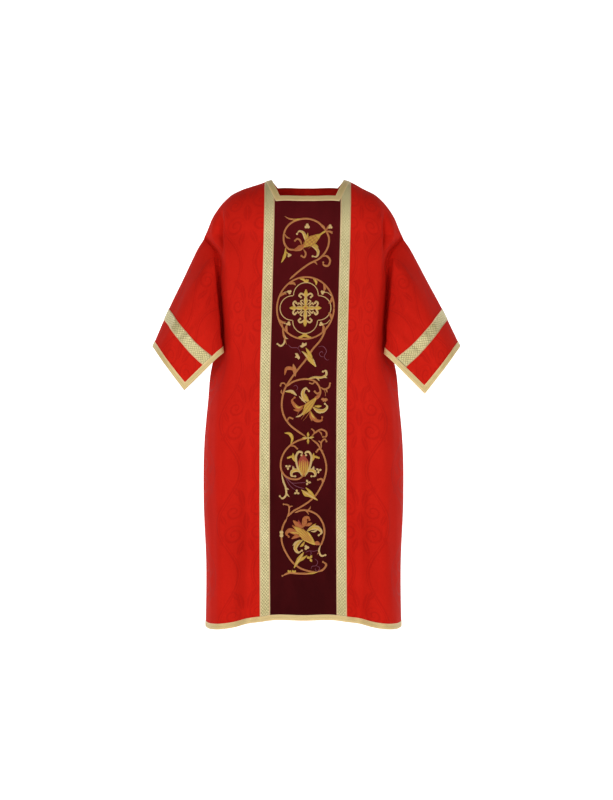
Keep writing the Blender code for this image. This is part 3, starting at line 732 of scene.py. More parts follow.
# %% Trim patterns
def galloon_weave():
    tree, start, out = group("Galloon weave", {"Width": GALLOON, "Diamond": 0.0072},
                             ["Height", "Selvedge", "Gap"])
    x, y = across_along(tree, start.outputs["Pattern"])
    width, diamond = (Value(tree, start.outputs[k]) for k in ("Width", "Diamond"))
    edge = x.least(width - x)
    selvedge = edge.under(0.0030, 0.0006)
    one = ((x + y * 0.8) / diamond).part() - 0.5
    two = ((x - y * 0.8) / diamond).part() - 0.5
    lattice = one.size().under(0.11, 0.08).most(two.size().under(0.11, 0.08))
    eye = (one.size() + two.size()).under(0.9, 0.06).flip()
    patchy = noise(tree, start.outputs["Pattern"], 330, 2)
    gap = (lattice * 0.8 + eye * 0.6 + (patchy - 0.5) * 1.5).limited() * selvedge.flip()
    ribs = (y / 0.0011).wave() * 0.5 + 0.5
    height = gap.flip() * 0.7 * selvedge.flip() + selvedge * 0.75 + ribs * selvedge * 0.25
    return finish_group(tree, out, Height=height, Selvedge=selvedge, Gap=gap)


def braid_plait():
    tree, start, out = group("Braid plait", {"Width": BRAID, "Rib": 0.0024}, ["Height", "Border"])
    x, y = across_along(tree, start.outputs["Pattern"])
    width, rib = (Value(tree, start.outputs[k]) for k in ("Width", "Rib"))
    from_middle = (x - width * 0.5).size()
    ribs = ((y + from_middle * 0.9) / rib).wave() * 0.5 + 0.5
    border = (width * 0.5 - from_middle).under(0.0014, 0.0006)
    groove = from_middle.under(0.0006, 0.0006)
    height = ribs * border.flip() * 0.8 + border * 0.9 - groove * 0.5
    return finish_group(tree, out, Height=height, Border=border)


GROUPS |= {"galloon": galloon_weave(), "braid": braid_plait()}
print("trim patterns:", [GROUPS[k].name for k in ("galloon", "braid")])

# %% [markdown]
# ## Pile and stitches
# Velvet's pile leans, so broad strokes of it are lighter, and a painted shade darkens it from the neck to the
# hem, where the light falls off. Satin stitch shows its thread as fine slanting lines, coloured with painted
# shade between the strands and painted highlight along them.

# %% Pile and stitch patterns
def velvet_pile():
    tree, start, out = group("Velvet pile", {"Pile": 900.0, "Length": 1.15}, ["Height", "Stroke"])
    up = across_along(tree, start.outputs["Pattern"])[1] / Value(tree, start.outputs["Length"])
    stroke = noise(tree, start.outputs["Pattern"], 14, 3, stretch=(1.6, 0.5, 1))
    tufts = noise(tree, start.outputs["Pattern"], Value(tree, start.outputs["Pile"]), 1)
    # The second output mixes random pile strokes with a painted shade that is lighter at the neck and darker
    # towards the hem.
    return finish_group(tree, out, Height=tufts, Stroke=(stroke - 0.5) * 0.9 + up * 0.9)


def satin_stitch():
    tree, start, out = group("Satin stitch", {"Strand": 0.0009}, ["Height", "Strands"])
    x, y = across_along(tree, start.outputs["Pattern"])
    strand = Value(tree, start.outputs["Strand"])
    wander = noise(tree, start.outputs["Pattern"], 420, 1)
    lines = ((y + x * 0.55) / strand + wander * 1.2).wave() * 0.5 + 0.5
    # The second output is painted shade between the strands and painted highlight along them, broken by random
    # wander.
    return finish_group(tree, out, Height=lines, Strands=lines * 0.6 + wander * 0.4)


GROUPS |= {"pile": velvet_pile(), "satin": satin_stitch()}
print("all the patterns:", [g.name for g in GROUPS.values()])

# %% [markdown]
# ## The finishes
# Each finish is one Principled shader. The groups only say where the figure,
# threads and borders are. Sheen stands for the loose fibres that catch the
# light at a glancing angle, strong on velvet and slight on silk.

# %% A finish
class Finish:
    """A material with one Principled shader and the pattern coordinates."""

    def __init__(self, name, roughness=0.6, metallic=0.0, sheen=0.0, specular=0.5, tint=(1, 1, 1), ior=1.5):
        self.material = bpy.data.materials.new(name)
        self.material.use_nodes = True
        self.tree = self.material.node_tree
        self.shader = self.tree.nodes["Principled BSDF"]
        constants = {
            "Roughness": roughness, "Metallic": metallic, "Sheen Weight": sheen, "Sheen Roughness": 0.4,
            "Sheen Tint": (*tint, 1), "Specular Tint": (*tint, 1), "Specular IOR Level": specular, "IOR": ior,
        }
        for label, value in constants.items():
            self.shader.inputs[label].default_value = value
        self.coordinates = self.tree.nodes.new("ShaderNodeUVMap")
        self.coordinates.uv_map = "pattern"

    def use(self, key, output, **inputs):
        """The output of a shared group, as a Value."""
        found = [n for n in self.tree.nodes if n.type == "GROUP" and n.node_tree == GROUPS[key]]
        node = found[0] if found else self.tree.nodes.new("ShaderNodeGroup")
        if not found:
            node.node_tree = GROUPS[key]
            self.tree.links.new(self.coordinates.outputs[0], node.inputs["Pattern"])
        for label, value in inputs.items():
            node.inputs[label.replace("_", " ")].default_value = value
        return Value(self.tree, node.outputs[output])

    def colour(self, socket):
        self.tree.links.new(socket, self.shader.inputs["Base Color"])

    def set(self, label, value):
        self.tree.links.new(value.socket, self.shader.inputs[label])

    def bump(self, height, distance, strength=1.0):
        node = self.tree.nodes.new("ShaderNodeBump")
        node.inputs["Distance"].default_value = distance
        node.inputs["Strength"].default_value = strength
        self.tree.links.new(height.socket, node.inputs["Height"])
        self.tree.links.new(node.outputs[0], self.shader.inputs["Normal"])


print("a finish can be given:", sorted(k for k in vars(Finish) if not k.startswith("__")))

# %% [markdown]
# The damask's figure is a little darker and shinier than its ground. The velvet is nearly black between its
# strokes, and a painted shade darkens it further towards the hem. Both get little mirror shine, or they would
# look like paint.

# %% Damask and velvet
def red_damask():
    made = Finish("red_damask", sheen=0.03, specular=0.30, tint=(1.0, 0.20, 0.13), ior=1.18)
    figure = made.use("figure", "Figure")
    patches = made.use("handling", "Patches")
    height = made.use("weave", "Height", Thread=0.0009)
    ground = blend(made.tree, patches, (0.530, 0.0115, 0.0062), (0.610, 0.0150, 0.0078))
    satin = blend(made.tree, patches, (0.468, 0.0096, 0.0056), (0.545, 0.0125, 0.0070))
    made.colour(blend(made.tree, figure, ground, satin))
    made.set("Roughness", figure * -0.16 + 0.82)
    made.bump(figure * 0.5 + height * 0.35, 0.0004, 0.5)
    return made.material


def wine_velvet():
    made = Finish("wine_velvet", roughness=0.9, sheen=0.10, specular=0.15, tint=(1.0, 0.12, 0.14))
    stroke = made.use("pile", "Stroke")
    # Dark to light with the pile strokes and with a painted shade, lightest at the neck and darkest at the hem.
    made.colour(blend(made.tree, stroke, (0.034, 0.0030, 0.0036), (0.086, 0.0056, 0.0070)))
    made.bump(made.use("pile", "Height"), 0.0003, 0.35)
    return made.material


FINISHES = {"red_damask": red_damask(), "wine_velvet": wine_velvet()}
print("cloths:", list(FINISHES))

# %% Gold trims and threads
def gold_galloon(name, width):
    made = Finish(name, metallic=0.25, specular=0.4)
    gap = made.use("galloon", "Gap", Width=width)
    selvedge = made.use("galloon", "Selvedge")
    patches = made.use("handling", "Patches")
    stitches = made.use("stitches", "Stitches", Width=width)
    threads = blend(made.tree, patches, (0.540, 0.460, 0.198), (0.940, 0.835, 0.465))
    woven = blend(made.tree, gap, threads, (0.190, 0.135, 0.040))
    edged = blend(made.tree, selvedge, woven, (0.700, 0.475, 0.250))
    made.colour(blend(made.tree, stitches * 0.6, edged, (0.420, 0.300, 0.130)))
    made.set("Roughness", gap * 0.25 + 0.42)
    made.bump(made.use("galloon", "Height") - stitches * 0.5, 0.0005, 0.6)
    return made.material


def gold_braid():
    made = Finish("gold_braid", roughness=0.5, metallic=0.2, specular=0.4)
    ribs = made.use("braid", "Height")
    border = made.use("braid", "Border")
    patches = made.use("handling", "Patches")
    # Colour follows the rib height: painted shade in the grooves between the ribs and painted highlight on their
    # crests.
    shaded_plait = blend(made.tree, ribs, (0.530, 0.375, 0.150), (0.880, 0.680, 0.310))
    worn_and_shaded = blend(made.tree, patches * 0.35, shaded_plait, (0.770, 0.590, 0.270))
    made.colour(blend(made.tree, border, worn_and_shaded, (0.900, 0.660, 0.345)))
    made.bump(ribs, 0.0005, 0.6)
    return made.material


def thread(name, dark, light, metallic):
    made = Finish(name, roughness=0.42, metallic=metallic, sheen=0.08, specular=0.45)
    strand_shade = made.use("satin", "Strands")
    # The thread goes from its dark to its light colour: painted shade between strands and painted highlight on
    # them.
    made.colour(blend(made.tree, strand_shade, dark, light))
    made.bump(made.use("satin", "Height"), 0.00035, 0.7)
    return made.material


FINISHES["gold_braid"] = gold_braid()
for name, width in {"gold_galloon": GALLOON, "sleeve_galloon": SLEEVE_BAND}.items():
    FINISHES[name] = gold_galloon(name, width)
THREADS = {
    # thread: its dark and light colour, painted shade between the strands and painted highlight on them, share of
    # metal
    "copper": thread("thread_copper", (0.290, 0.088, 0.020), (0.640, 0.245, 0.070), 0.20),
    "gold": thread("thread_gold", (0.360, 0.185, 0.018), (0.820, 0.520, 0.080), 0.25),
    "cream": thread("thread_cream", (0.420, 0.250, 0.080), (0.860, 0.600, 0.245), 0.12),
    "rust": thread("thread_rust", (0.260, 0.048, 0.010), (0.600, 0.190, 0.034), 0.10),
    "red": thread("thread_red", (0.220, 0.018, 0.008), (0.450, 0.060, 0.022), 0.05),
    "plum": thread("thread_plum", (0.110, 0.018, 0.040), (0.260, 0.062, 0.095), 0.05),
}
print("finishes:", sorted(FINISHES), "threads:", sorted(THREADS))

# %% [markdown]
# ## Cutting the body
# The front and back are one width of damask each, with the neck cut out as a
# straight-sided trapezium. The grid's first row follows that neckline. Its
# columns crowd together where the neckline runs out on the ridge, and lie
# closer beside the sleeve, where the deep crease is, than in the middle.

# %% Front and back
CLOTH = 0.0020  # thickness, half of it on each side of the form
TRIM_LOW, TRIM_HIGH = CLOTH / 2 - 0.0001, CLOTH / 2 + 0.0011  # a trim's two faces above the form
NECK = {
    # half width at the bottom of the neckline, drop as a share of the shoulder's rounding
    "front": (0.0733, 0.400), "back": (0.0800, 0.150),
}


def neckline(face, a):
    """Drop of the neckline at each place across, as a share of the rounding."""
    half, drop = NECK[face]
    return np.clip((NECK_HALF - np.abs(a)) / (NECK_HALF - half), 0, 1) * drop


def closing(start, end, count):
    """Values from start that lie closer and closer together towards end."""
    return end + (start - end) * (1 - np.linspace(0, 1, count, endpoint=False)) ** 2


def rows_below(start, rows):
    """Rows that follow the piece's top edge over the shoulder, then run level."""
    rows = rows[:, None]
    return np.where(rows < 1, start + (1 - start) * rows, rows)


def body_grid(face):
    half = np.concatenate([spaced((0, NECK[face][0], 15))[:-1], closing(NECK[face][0], NECK_HALF, 11),
                           spaced((NECK_HALF, GALLOON_OUT, 5), (GALLOON_OUT, SEAM, 54))])
    across = np.concatenate([-half[:0:-1], half])
    rows = spaced((0, 1, 40), (1, 1.33, 56), (1.33, 2, 104))
    down = rows_below(down_of(neckline(face, across)), rows)
    return np.broadcast_to(across, down.shape).copy(), down


def cloth_body(face):
    across, down = body_grid(face)
    points, normal = lay_body(face, across, down)
    pattern = np.stack([across, lengths(points[::-1], 0)[::-1]], -1)
    width, length = lengths(points, 1)[:, -1], lengths(points, 0)[-1]
    print(f"{face}: {width.min():.3f} to {width.max():.3f} m across, {length.max():.3f} m long")
    sheet = points, normal, pattern
    return shell(f"{face}_cloth", [sheet], -CLOTH / 2, CLOTH / 2, FINISHES["red_damask"])


PIECES = {"front_body": cloth_body("front"), "back_body": cloth_body("back")}

# %% [markdown]
# ## Cutting the sleeves
# Each sleeve is one piece from the underside of the front, over the arm, to
# the underside of the back. It is wider at the armhole than at the hem.

# %% Sleeves
SIDES = {"left": 1, "right": -1}
UNDERARM_CORNER = 0.015  # the last bit below the arm stops this much short of the armhole


def sleeve_pattern(points):
    around = lengths(points, 1)
    around -= around[:, points.shape[1] // 2:points.shape[1] // 2 + 1]
    return np.stack([around, lengths(points, 0)], -1)


def cloth_sleeve(side, name):
    half = spaced((0, 0.9, 62), (0.9, 1, 10))
    c = np.concatenate([-half[:0:-1], half])
    up = spaced((0, 1, 26), (1, 1.7, 38), (1.7, 2, 30))
    c, up = np.meshgrid(c, up)
    corner = np.clip((np.abs(c) - 0.97) / 0.03, 0, 1) * np.clip((up - 1.9) / 0.1, 0, 1)
    points, normal = lay_sleeve(side, c, up - corner * UNDERARM_CORNER)
    girth, length = lengths(points, 1)[:, -1], lengths(points, 0)[-1]
    print(f"{name} sleeve: {girth[0]:.3f} m round the hem, {girth[-1]:.3f} m at the armhole,"
          f" {length.min():.3f} to {length.max():.3f} m long")
    sheet = points, normal, sleeve_pattern(points)
    return shell(f"{name}_sleeve_cloth", [sheet], -CLOTH / 2, CLOTH / 2, FINISHES["red_damask"])


for name, side in SIDES.items():
    PIECES[f"{name}_sleeve"] = cloth_sleeve(side, name)

# %% [markdown]
# ## The orphrey and the galloons
# The orphrey is a panel of velvet sewn down the front. Its raw edges lie under
# two galloons, which start beneath the braid of the neck and end at the braid
# of the hem.

# %% Panel and galloons
BRAID_SIDE, BRAID_DROP = 0.0160, 0.105  # how far the neck braid reaches beside and below the cut edge
HEM_RUN = 1.04  # length of the body below the shoulder's rounding
HEM_ROW = 2 - BRAID / HEM_RUN


def braid_edge(a):
    """Where the neck braid's outer edge lies, as a drop."""
    half, drop = NECK["front"]
    slope = (NECK_HALF - half) / drop
    return np.clip((NECK_HALF + BRAID_SIDE - np.abs(a)) / slope, 0, drop + BRAID_DROP)


def strip_down(name, across, material, origin):
    rows = spaced((0, 1, 40), (1, HEM_ROW, 170))
    down = rows_below(down_of(braid_edge(across)), rows)
    across = np.broadcast_to(across, down.shape).copy()
    points, normal = lay_body("front", across, down)
    pattern = np.stack([across - origin, lengths(points[::-1], 0)[::-1]], -1)
    width, length = lengths(points, 1)[-1].max(), lengths(points, 0)[-1].max()
    print(f"{name}: {width:.4f} m wide, {length:.3f} m long")
    return shell(name, [(points, normal, pattern)], TRIM_LOW, TRIM_HIGH, material)


NECK_LOW, NECK_DROP = NECK["front"]
CORNER = NECK_HALF + BRAID_SIDE - (NECK_HALF - NECK_LOW) * (1 + BRAID_DROP / NECK_DROP)
panel_columns = spaced((-PANEL_HALF, -CORNER, 3), (-CORNER, CORNER, 54), (CORNER, PANEL_HALF, 3))
columns = np.append(closing(PANEL_HALF, NECK_HALF + BRAID_SIDE, 14), [NECK_HALF + BRAID_SIDE, GALLOON_OUT])
gold = FINISHES["gold_galloon"]
PIECES["orphrey_panel"] = strip_down("orphrey_velvet", panel_columns, FINISHES["wine_velvet"], 0)
PIECES["left_galloon"] = strip_down("left_galloon_weave", columns, gold, PANEL_HALF)
PIECES["right_galloon"] = strip_down("right_galloon_weave", -columns[::-1], gold, -GALLOON_OUT)

# %% [markdown]
# ## The braids
# A braid follows an edge and is folded into a mitre at each corner. Its path
# is two broken lines in pattern coordinates, the cut edge and the inner edge,
# and the braid fills the strip between them.

# %% Strips with mitred corners
def mitred(inner, outer, places, across=7):
    """Pattern coordinates of a strip between two broken lines. places has the
    shares of each length that get a row."""
    place = np.concatenate([i + p for i, p in enumerate(places)] + [[len(places)]])
    knots = np.arange(len(inner))
    near, far = (np.stack([np.interp(place, knots, values) for values in zip(*line)], -1)
                 for line in (inner, outer))
    share = np.linspace(0, 1, across)[:, None, None]
    strip = near * (1 - share) + far * share
    return strip[..., 0], strip[..., 1]


def even(count):
    return np.linspace(0, 1, count, endpoint=False)


def braid_sheet(points, normal, width):
    run = lengths(points, 1)
    share = np.linspace(0, width, points.shape[0])[:, None]
    return points, normal, np.stack(np.broadcast_arrays(share, run.mean(axis=0)), -1)


square = mitred([(1, 0), (1, 1), (0, 1)], [(2, 0), (2, 2), (0, 2)], (even(2), even(2)), across=2)
print("the outer line of a mitred corner:", list(zip(square[0][1].tolist(), square[1][1].tolist())))

# %% Neck, hem and sleeve braids
def neck_sheet(face):
    half, drop = NECK[face]
    slope = (NECK_HALF - half) / drop
    top, bottom = NECK_HALF + BRAID_SIDE, drop + BRAID_DROP
    inner = [(-NECK_HALF, 0), (-half, drop), (half, drop), (NECK_HALF, 0)]
    corner = top - slope * bottom
    outer = [(-top, 0), (-corner, bottom), (corner, bottom), (top, 0)]
    side = closing(0, 1, 20)
    across, share = mitred(inner, outer, (1 - np.append(side, 1)[:0:-1], even(44), side))
    return braid_sheet(*lay_body(face, across, down_of(share)), BRAID)


def hem_sheet(face):
    across, down = np.meshgrid(np.linspace(-SEAM, SEAM, 180), np.linspace(HEM_ROW, 2, 7))
    return braid_sheet(*lay_body(face, across, down), BRAID)


def sleeve_braid(side):
    low, end = BRAID / BAND_TOP, 1.90  # the braid stops a little below the armhole
    inner = [(-EDGE, end), (-EDGE, low), (EDGE, low), (EDGE, end)]
    outer = [(-1, end), (-1, 0), (1, 0), (1, end)]
    return braid_sheet(*lay_sleeve(side, *mitred(inner, outer, (even(56), even(150), even(56)))), BRAID)


def sleeve_band(side):
    end = EDGE - 0.001
    c, up = np.meshgrid(np.linspace(-end, end, 150), np.linspace(BAND_UP / BAND_TOP, 1, 9))
    return braid_sheet(*lay_sleeve(side, c, up), SLEEVE_BAND)


def trim(name, sheets, finish):
    return shell(name, sheets, TRIM_LOW, TRIM_HIGH, FINISHES[finish])


PIECES["neck_braid"] = trim("neck_edge_braid", [neck_sheet(face) for face in NECK], "gold_braid")
PIECES["hem_braid"] = trim("hem_edge_braid", [hem_sheet(face) for face in NECK], "gold_braid")
for name, side in SIDES.items():
    PIECES[f"{name}_sleeve_edge_braid"] = trim(f"{name}_sleeve_braid", [sleeve_braid(side)], "gold_braid")
    PIECES[f"{name}_sleeve_band"] = trim(f"{name}_sleeve_galloon", [sleeve_band(side)], "sleeve_galloon")
print("pieces so far:", len(PIECES))

# %% [markdown]
# ## Embroidery tools
# The orphrey is worked in satin stitch: each stem, leaf or petal is a band of
# thread laid side by side, domed over padding. A band is drawn as its middle
# line in millimetres on the panel, its width and how its ends taper. `band`
# and `dot` only collect the bands of each thread. They are laid on the panel
# when the drawing is finished.

# %% Satin stitch
PADDING = 0.0011  # height of a full dome
BAND_DOME, DOT_DOME = 0.00055, 0.0005  # height of a narrow one for each millimetre of its half width
LAYER = 0.0003
BASE = TRIM_HIGH - 0.0002
SPACING, MEET = 1.4, 0.12  # millimetres between rows of a band, and half its width at a pointed end
BLUNT = 0.65  # below 1 makes an end fuller than a straight taper
bands = {key: [] for key in THREADS}


def smooth_line(points, spacing):
    points = np.array(points, float)
    chord = np.concatenate([[0], np.cumsum(np.linalg.norm(np.diff(points, axis=0), axis=1))])
    count = max(6, int(chord[-1] / spacing))
    return through(chord, points, np.linspace(0, chord[-1], count)), chord[-1]


def dome(half, height, across):
    return np.minimum(PADDING, half * height) * np.sqrt(np.clip(1 - across ** 2, 0, 1))


def band(key, points, width, taper, layer):
    """taper: share of the length that each end takes to reach its width."""
    if len(points) == 2:
        points = [points[0], tuple((np.array(points[0]) + points[1]) / 2), points[1]]
    line, length = smooth_line(points, SPACING)
    t = np.linspace(0, 1, len(line))
    ahead = np.gradient(line, axis=0)
    ahead /= np.linalg.norm(ahead, axis=1)[:, None]
    aside = np.stack([-ahead[:, 1], ahead[:, 0]], -1)
    grow = np.minimum(1, t / taper[0]) * np.minimum(1, (1 - t) / taper[1])
    half = width / 2 * grow ** BLUNT + MEET
    k = np.linspace(-1, 1, 7)[:, None]  # across the band
    place = line[None] + aside[None] * (half * k)[..., None]
    flat = np.stack(np.broadcast_arrays(half * k, t * length), -1) / 1000
    bands[key].append((place, BASE + dome(half, BAND_DOME, k) + LAYER * layer, flat))


def dot(key, x, y, radius, layer=1):
    ring, turn = np.meshgrid(np.linspace(0, 1, 4), np.linspace(0, math.tau, 13), indexing="ij")
    place = np.stack([x + radius * ring * np.cos(turn), y + radius * ring * np.sin(turn)], -1)
    bands[key].append((place, BASE + dome(radius, DOT_DOME, ring) + LAYER * layer, (place - (x, y)) / 1000))


print("threads to work with:", list(bands))

# %% Shapes to draw with
LEAF_ENDS, LINING_ENDS = (0.55, 0.45), (0.30, 0.35)
CURL_ENDS, BROAD_CURL_ENDS, BROAD = (0.30, 0.12), (0.30, 0.5), 6
ROLL, MOST_ROLL = 0.62, 2.8  # radius of a rolled tip as a share of the width, and at most in millimetres


class Motif:
    """Draws in millimetres from its own middle, at a height on the panel."""

    def __init__(self, height, aside=0.0):
        self.shift = np.array([aside, height * 1000])

    def at(self, points):
        return [tuple(np.array(p) + self.shift) for p in points]

    def stem(self, key, width, *points, taper=(0.05, 0.05), layer=0):
        band(key, self.at(points), width, taper, layer)

    def leaf(self, key, width, *points, layer=1):
        band(key, self.at(points), width, LEAF_ENDS, layer)

    def curl(self, key, width, *points, layer=1):
        """A tapering line that ends in a rolled tip."""
        band(key, self.at(points), width, CURL_ENDS if width < BROAD else BROAD_CURL_ENDS, layer)
        dot(key, *self.at(points)[-1], min(width * ROLL, MOST_ROLL), layer + 1)

    def petal(self, edge, inner, width, *points, layer=1):
        """A petal with an outline of one thread and a filling of another."""
        self.curl(edge, width, *points, layer=layer)
        band(inner, self.at(points[:-1]), width * 0.52, LINING_ENDS, layer + 2)

    def tendril(self, *points, width=1.5, end=0.2):
        band("plum", self.at(points), width, (end, end), 0)

    def berry(self, key, radius, x, y, turn=90):
        for k in range(3):
            angle = math.radians(turn + 120 * k)
            apart = radius * 0.95
            middle = self.at([(x + apart * math.cos(angle), y + apart * math.sin(angle))])
            dot(key, *middle[0], radius)

    def fan(self, key, width, length, x, y, *turns, layer=1):
        """Short leaves out of one point, each turned by some degrees."""
        for turn in turns:
            angle = math.radians(turn)
            tip = (x + length * math.cos(angle), y + length * math.sin(angle))
            middle = ((x + tip[0]) / 2, (y + tip[1]) / 2)
            self.leaf(key, width, (x, y), middle, tip, layer=layer)


def turned(spin, *points):
    """Points turned about the middle."""
    cos, sin = math.cos(spin), math.sin(spin)
    return [(x * cos - y * sin, x * sin + y * cos) for x, y in points]


print("shapes:", [k for k in vars(Motif) if not k.startswith("__")])

# %% [markdown]
# ## The scroll, from the neck down
# One vine runs down the panel. It closes into a ring round each flower and
# throws off leaves and curls outside it. Copper thread makes the stems, bright
# gold the hearts of the flowers, cream the rolled petal edges, and a thin plum
# thread the tendrils. The flowers are all different.

# %% First ring: a thistle
m = Motif(-0.151, -1)
m.stem("copper", 5.2, (-26, -40), (-45, -38), (-56, -26), (-60, -8), (-56, 13), (-45, 28), (-26, 38),
       (-4, 42),
       (18, 38), (35, 28), (47, 13))
m.leaf("copper", 5.5, (-8, 43), (-30, 40), (-46, 42), (-60, 49), layer=0)
m.leaf("gold", 5.0, (-40, 33), (-28, 39), (-12, 41), layer=1)
m.stem("copper", 5.2, (50, 11), (58, -6), (58, -26), (50, -46), (36, -62), (10, -76), (-16, -95),
       (-42, -118))
m.fan("copper", 5, 19, 50, 10, 118, 62, -8)
m.berry("cream", 3.4, 61, 21)
m.curl("copper", 3.6, (52, 8), (60, 8), (66, 4))
m.stem("gold", 5, (50, 10), (42, 5), (34, -1), layer=1)
m.leaf("gold", 25, (-12, -34), (12, -17), (37, 1), layer=1)
for shift in (-6.5, -2.2, 2.2, 6.5):
    m.stem("rust", 1.5, (-2 + shift, -29 - shift * 1.3), (12 + shift * 0.9, -17 - shift * 1.3),
           (27 + shift * 0.5, -6 - shift), taper=(0.3, 0.3), layer=5)
for along_cone in (-3, 4, 11, 18, 25):
    m.stem("rust", 1.3, (along_cone - 5, along_cone * 0.72 - 18),
           (along_cone + 6, along_cone * 0.72 - 32), layer=6)
m.leaf("rust", 15, (-34, -42), (-20, -37), (-4, -26), layer=3)
m.leaf("copper", 6, (-30, -43), (-16, -40), (-4, -33), layer=5)
m.petal("cream", "gold", 8, (0, -22), (-4, -6), (-10, 6), (-20, 9), (-25, 2))
m.leaf("gold", 6, (4, -16), (2, -5), (3, 5))
m.petal("cream", "gold", 8, (8, -27), (22, -33), (31, -45), (27, -58), (17, -57))
m.leaf("gold", 6, (14, -27), (24, -28), (32, -34))
m.curl("copper", 4.6, (-12, -28), (-17, -15), (-24, -11), (-30, -16))
m.curl("copper", 4.6, (-8, -38), (-1, -50), (-5, -60), (-12, -56))
m.berry("cream", 3.8, 1, 22)
m.leaf("copper", 4.2, (-58, 3), (-52, -6), (-42, -11))
m.leaf("gold", 8, (-54, -34), (-55, -52), (-64, -74))
m.berry("cream", 3.0, -44, -54, 0)
m.stem("gold", 2.4, (-54, -44), (-47, -50), layer=2)
m.curl("copper", 5, (38, -60), (53, -56), (63, -67), (57, -82), (46, -79), (45, -73))
m.leaf("copper", 4, (14, -73), (24, -73), (30, -80))
print("bands in the first ring:", sum(map(len, bands.values())))

# %% [markdown]
# The medallion holds a line of four lobes. Inside it, where such panels carry
# a sign, there is a plain flowering cross of lily ends.

# %% Medallion: a flowering cross in four lobes
m = Motif(-0.3435, 1)
ring = [(74.5 * math.cos(t), 81 * math.sin(t)) for t in np.linspace(0, math.tau, 49)]
m.stem("copper", 4.6, *ring, taper=(0.001, 0.001))
LOBE_OUT, LOBE = 34.5, 32.0
for turn in range(4):
    arc = [(LOBE_OUT + LOBE * math.cos(t), LOBE * math.sin(t)) for t in np.linspace(-1.64, 1.64, 25)]
    m.stem("cream", 2.3, *turned(math.pi / 2 * turn, *arc), taper=(0.01, 0.01))
for x, y, turn in ((-43, 42, 40), (44, 41, 140), (-43, -41, -40), (42, -42, 220)):
    m.berry("cream", 3.2, x, y, turn)
    m.stem("cream", 1.8, (x, y), (x * 1.28, y * 0.98), (x * 1.56, y * 0.72), layer=0)
for degrees in (22, 52, 76, 104, 128, 158, 202, 232, 256, 284, 308, 338):
    t = math.radians(degrees)
    lead = 0.20 if (degrees // 26) % 2 else -0.20
    foot = (73 * math.cos(t), 79 * math.sin(t))
    middle = (66.5 * math.cos(t + lead * 0.8), 73.5 * math.sin(t + lead * 0.8))
    tip = (60 * math.cos(t + lead), 66 * math.sin(t + lead))
    m.leaf("gold" if 60 < degrees % 180 < 120 else "copper", 7, foot, middle, tip)
m.fan("gold", 6, 10, 1, 66, 90, 60, 120)
m.fan("gold", 6, 10, 1, -67, 270, 240, 300)
print("bands with the medallion's frame:", sum(map(len, bands.values())))


# %% The cross
def lily_end(motif, spin, reach):
    """One arm of the cross: a stem, a bud and two rolled petals."""
    motif.leaf("cream", 11, *turned(spin, (2, 0), (reach * 0.45, 0), (reach * 0.72, 0)))
    motif.leaf("gold", 6.5, *turned(spin, (3, 0), (reach * 0.42, 0), (reach * 0.66, 0)), layer=3)
    motif.leaf("gold", 10, *turned(spin, (reach * 0.55, 0), (reach * 0.80, 0), (reach + 2, 0)), layer=4)
    for hand in (-1, 1):
        outer = [(reach * 0.58, 0), (reach * 0.74, 6 * hand), (reach * 0.80, 13 * hand),
                 (reach * 0.68, 17 * hand), (reach * 0.60, 13 * hand)]
        inner = [(8, 3 * hand), (13, 10 * hand), (18, 13 * hand), (20, 9 * hand)]
        motif.curl("cream", 4.6, *turned(spin, *outer), layer=2)
        motif.curl("cream", 3.2, *turned(spin, *inner))


for turn, reach in enumerate((40, 47, 40, 47)):
    lily_end(m, math.pi / 2 * turn, reach)
dot("gold", *m.shift, 7.5, 6)
dot("rust", *m.shift, 3.6, 8)
print("bands so far:", sum(map(len, bands.values())))

# %% Third ring: a lily, with the stem and bud above it
m = Motif(-0.6036, -3.5)
m.stem("copper", 5.2, (62, 214), (47, 178), (26, 152), (8, 124), (-10, 101), (-31, 72), (-44, 50),
       (-51, 25), (-52, 0), (-46, -23), (-31, -45), (-10, -62), (14, -78))
m.stem("copper", 5.0, (-41, 54), (-24, 67), (-5, 73), (16, 74), (34, 68), (45, 54), (48, 38), (43, 27),
       (30, 19))
m.leaf("gold", 13, (-1, 147), (12, 135), (36, 106), layer=2)
m.leaf("gold", 9, (8, 156), (17, 142), (26, 130), layer=3)
m.leaf("cream", 4, (-3, 147), (6, 139), (14, 128), layer=4)
m.leaf("cream", 3, (28, 128), (31, 118), (36, 106), layer=4)
m.leaf("copper", 5.5, (-55, 222), (-52, 198), (-47, 178), (-42, 164))
m.curl("cream", 4.4, (-48, 182), (-49, 168), (-57, 161), (-66, 166))
m.leaf("cream", 4, (-48, 190), (-44, 181), (-38, 180))
m.tendril((-40, 166), (-30, 157), (-13, 155), (-7, 146), (-5, 138))
m.tendril((-13, 155), (-6, 162), (2, 160))
m.fan("cream", 7, 11, 4, 160, 60, 120, 180)
m.fan("cream", 7, 11, -10, 136, 150, 210, 270)
m.tendril((37, 157), (52, 160), (62, 148), (57, 132), (64, 124), (73, 126))
m.tendril((57, 132), (47, 134), (44, 142), (51, 146), (54, 140))
m.leaf("rust", 10, (-18, 84), (-24, 100), (-40, 102), (-46, 84))
m.leaf("copper", 11, (-18, 80), (-20, 98), (-24, 114))
m.curl("copper", 4, (-42, 56), (-46, 63), (-54, 63), (-56, 57))
m.leaf("copper", 4, (-50, 34), (-54, 40), (-53, 47))
m.petal("cream", "gold", 5.5, (10, 73), (34, 79), (52, 79), (63, 86), (61, 96), (54, 94))
m.leaf("cream", 4, (48, 79), (56, 80), (65, 77))
m.leaf("cream", 3.5, (34, 78), (42, 74), (45, 69))
m.curl("copper", 4.6, (47, 54), (58, 48), (70, 53), (73, 63))
m.leaf("copper", 4, (58, 49), (64, 45), (66, 38))
m.stem("copper", 1.6, (56, 49), (61, 38), (61, 28), taper=(0.2, 0.2))
m.fan("copper", 7, 10, 59, 24, 250, 290, 330, 200)
m.curl("copper", 4.6, (47, 42), (40, 36), (33, 42))
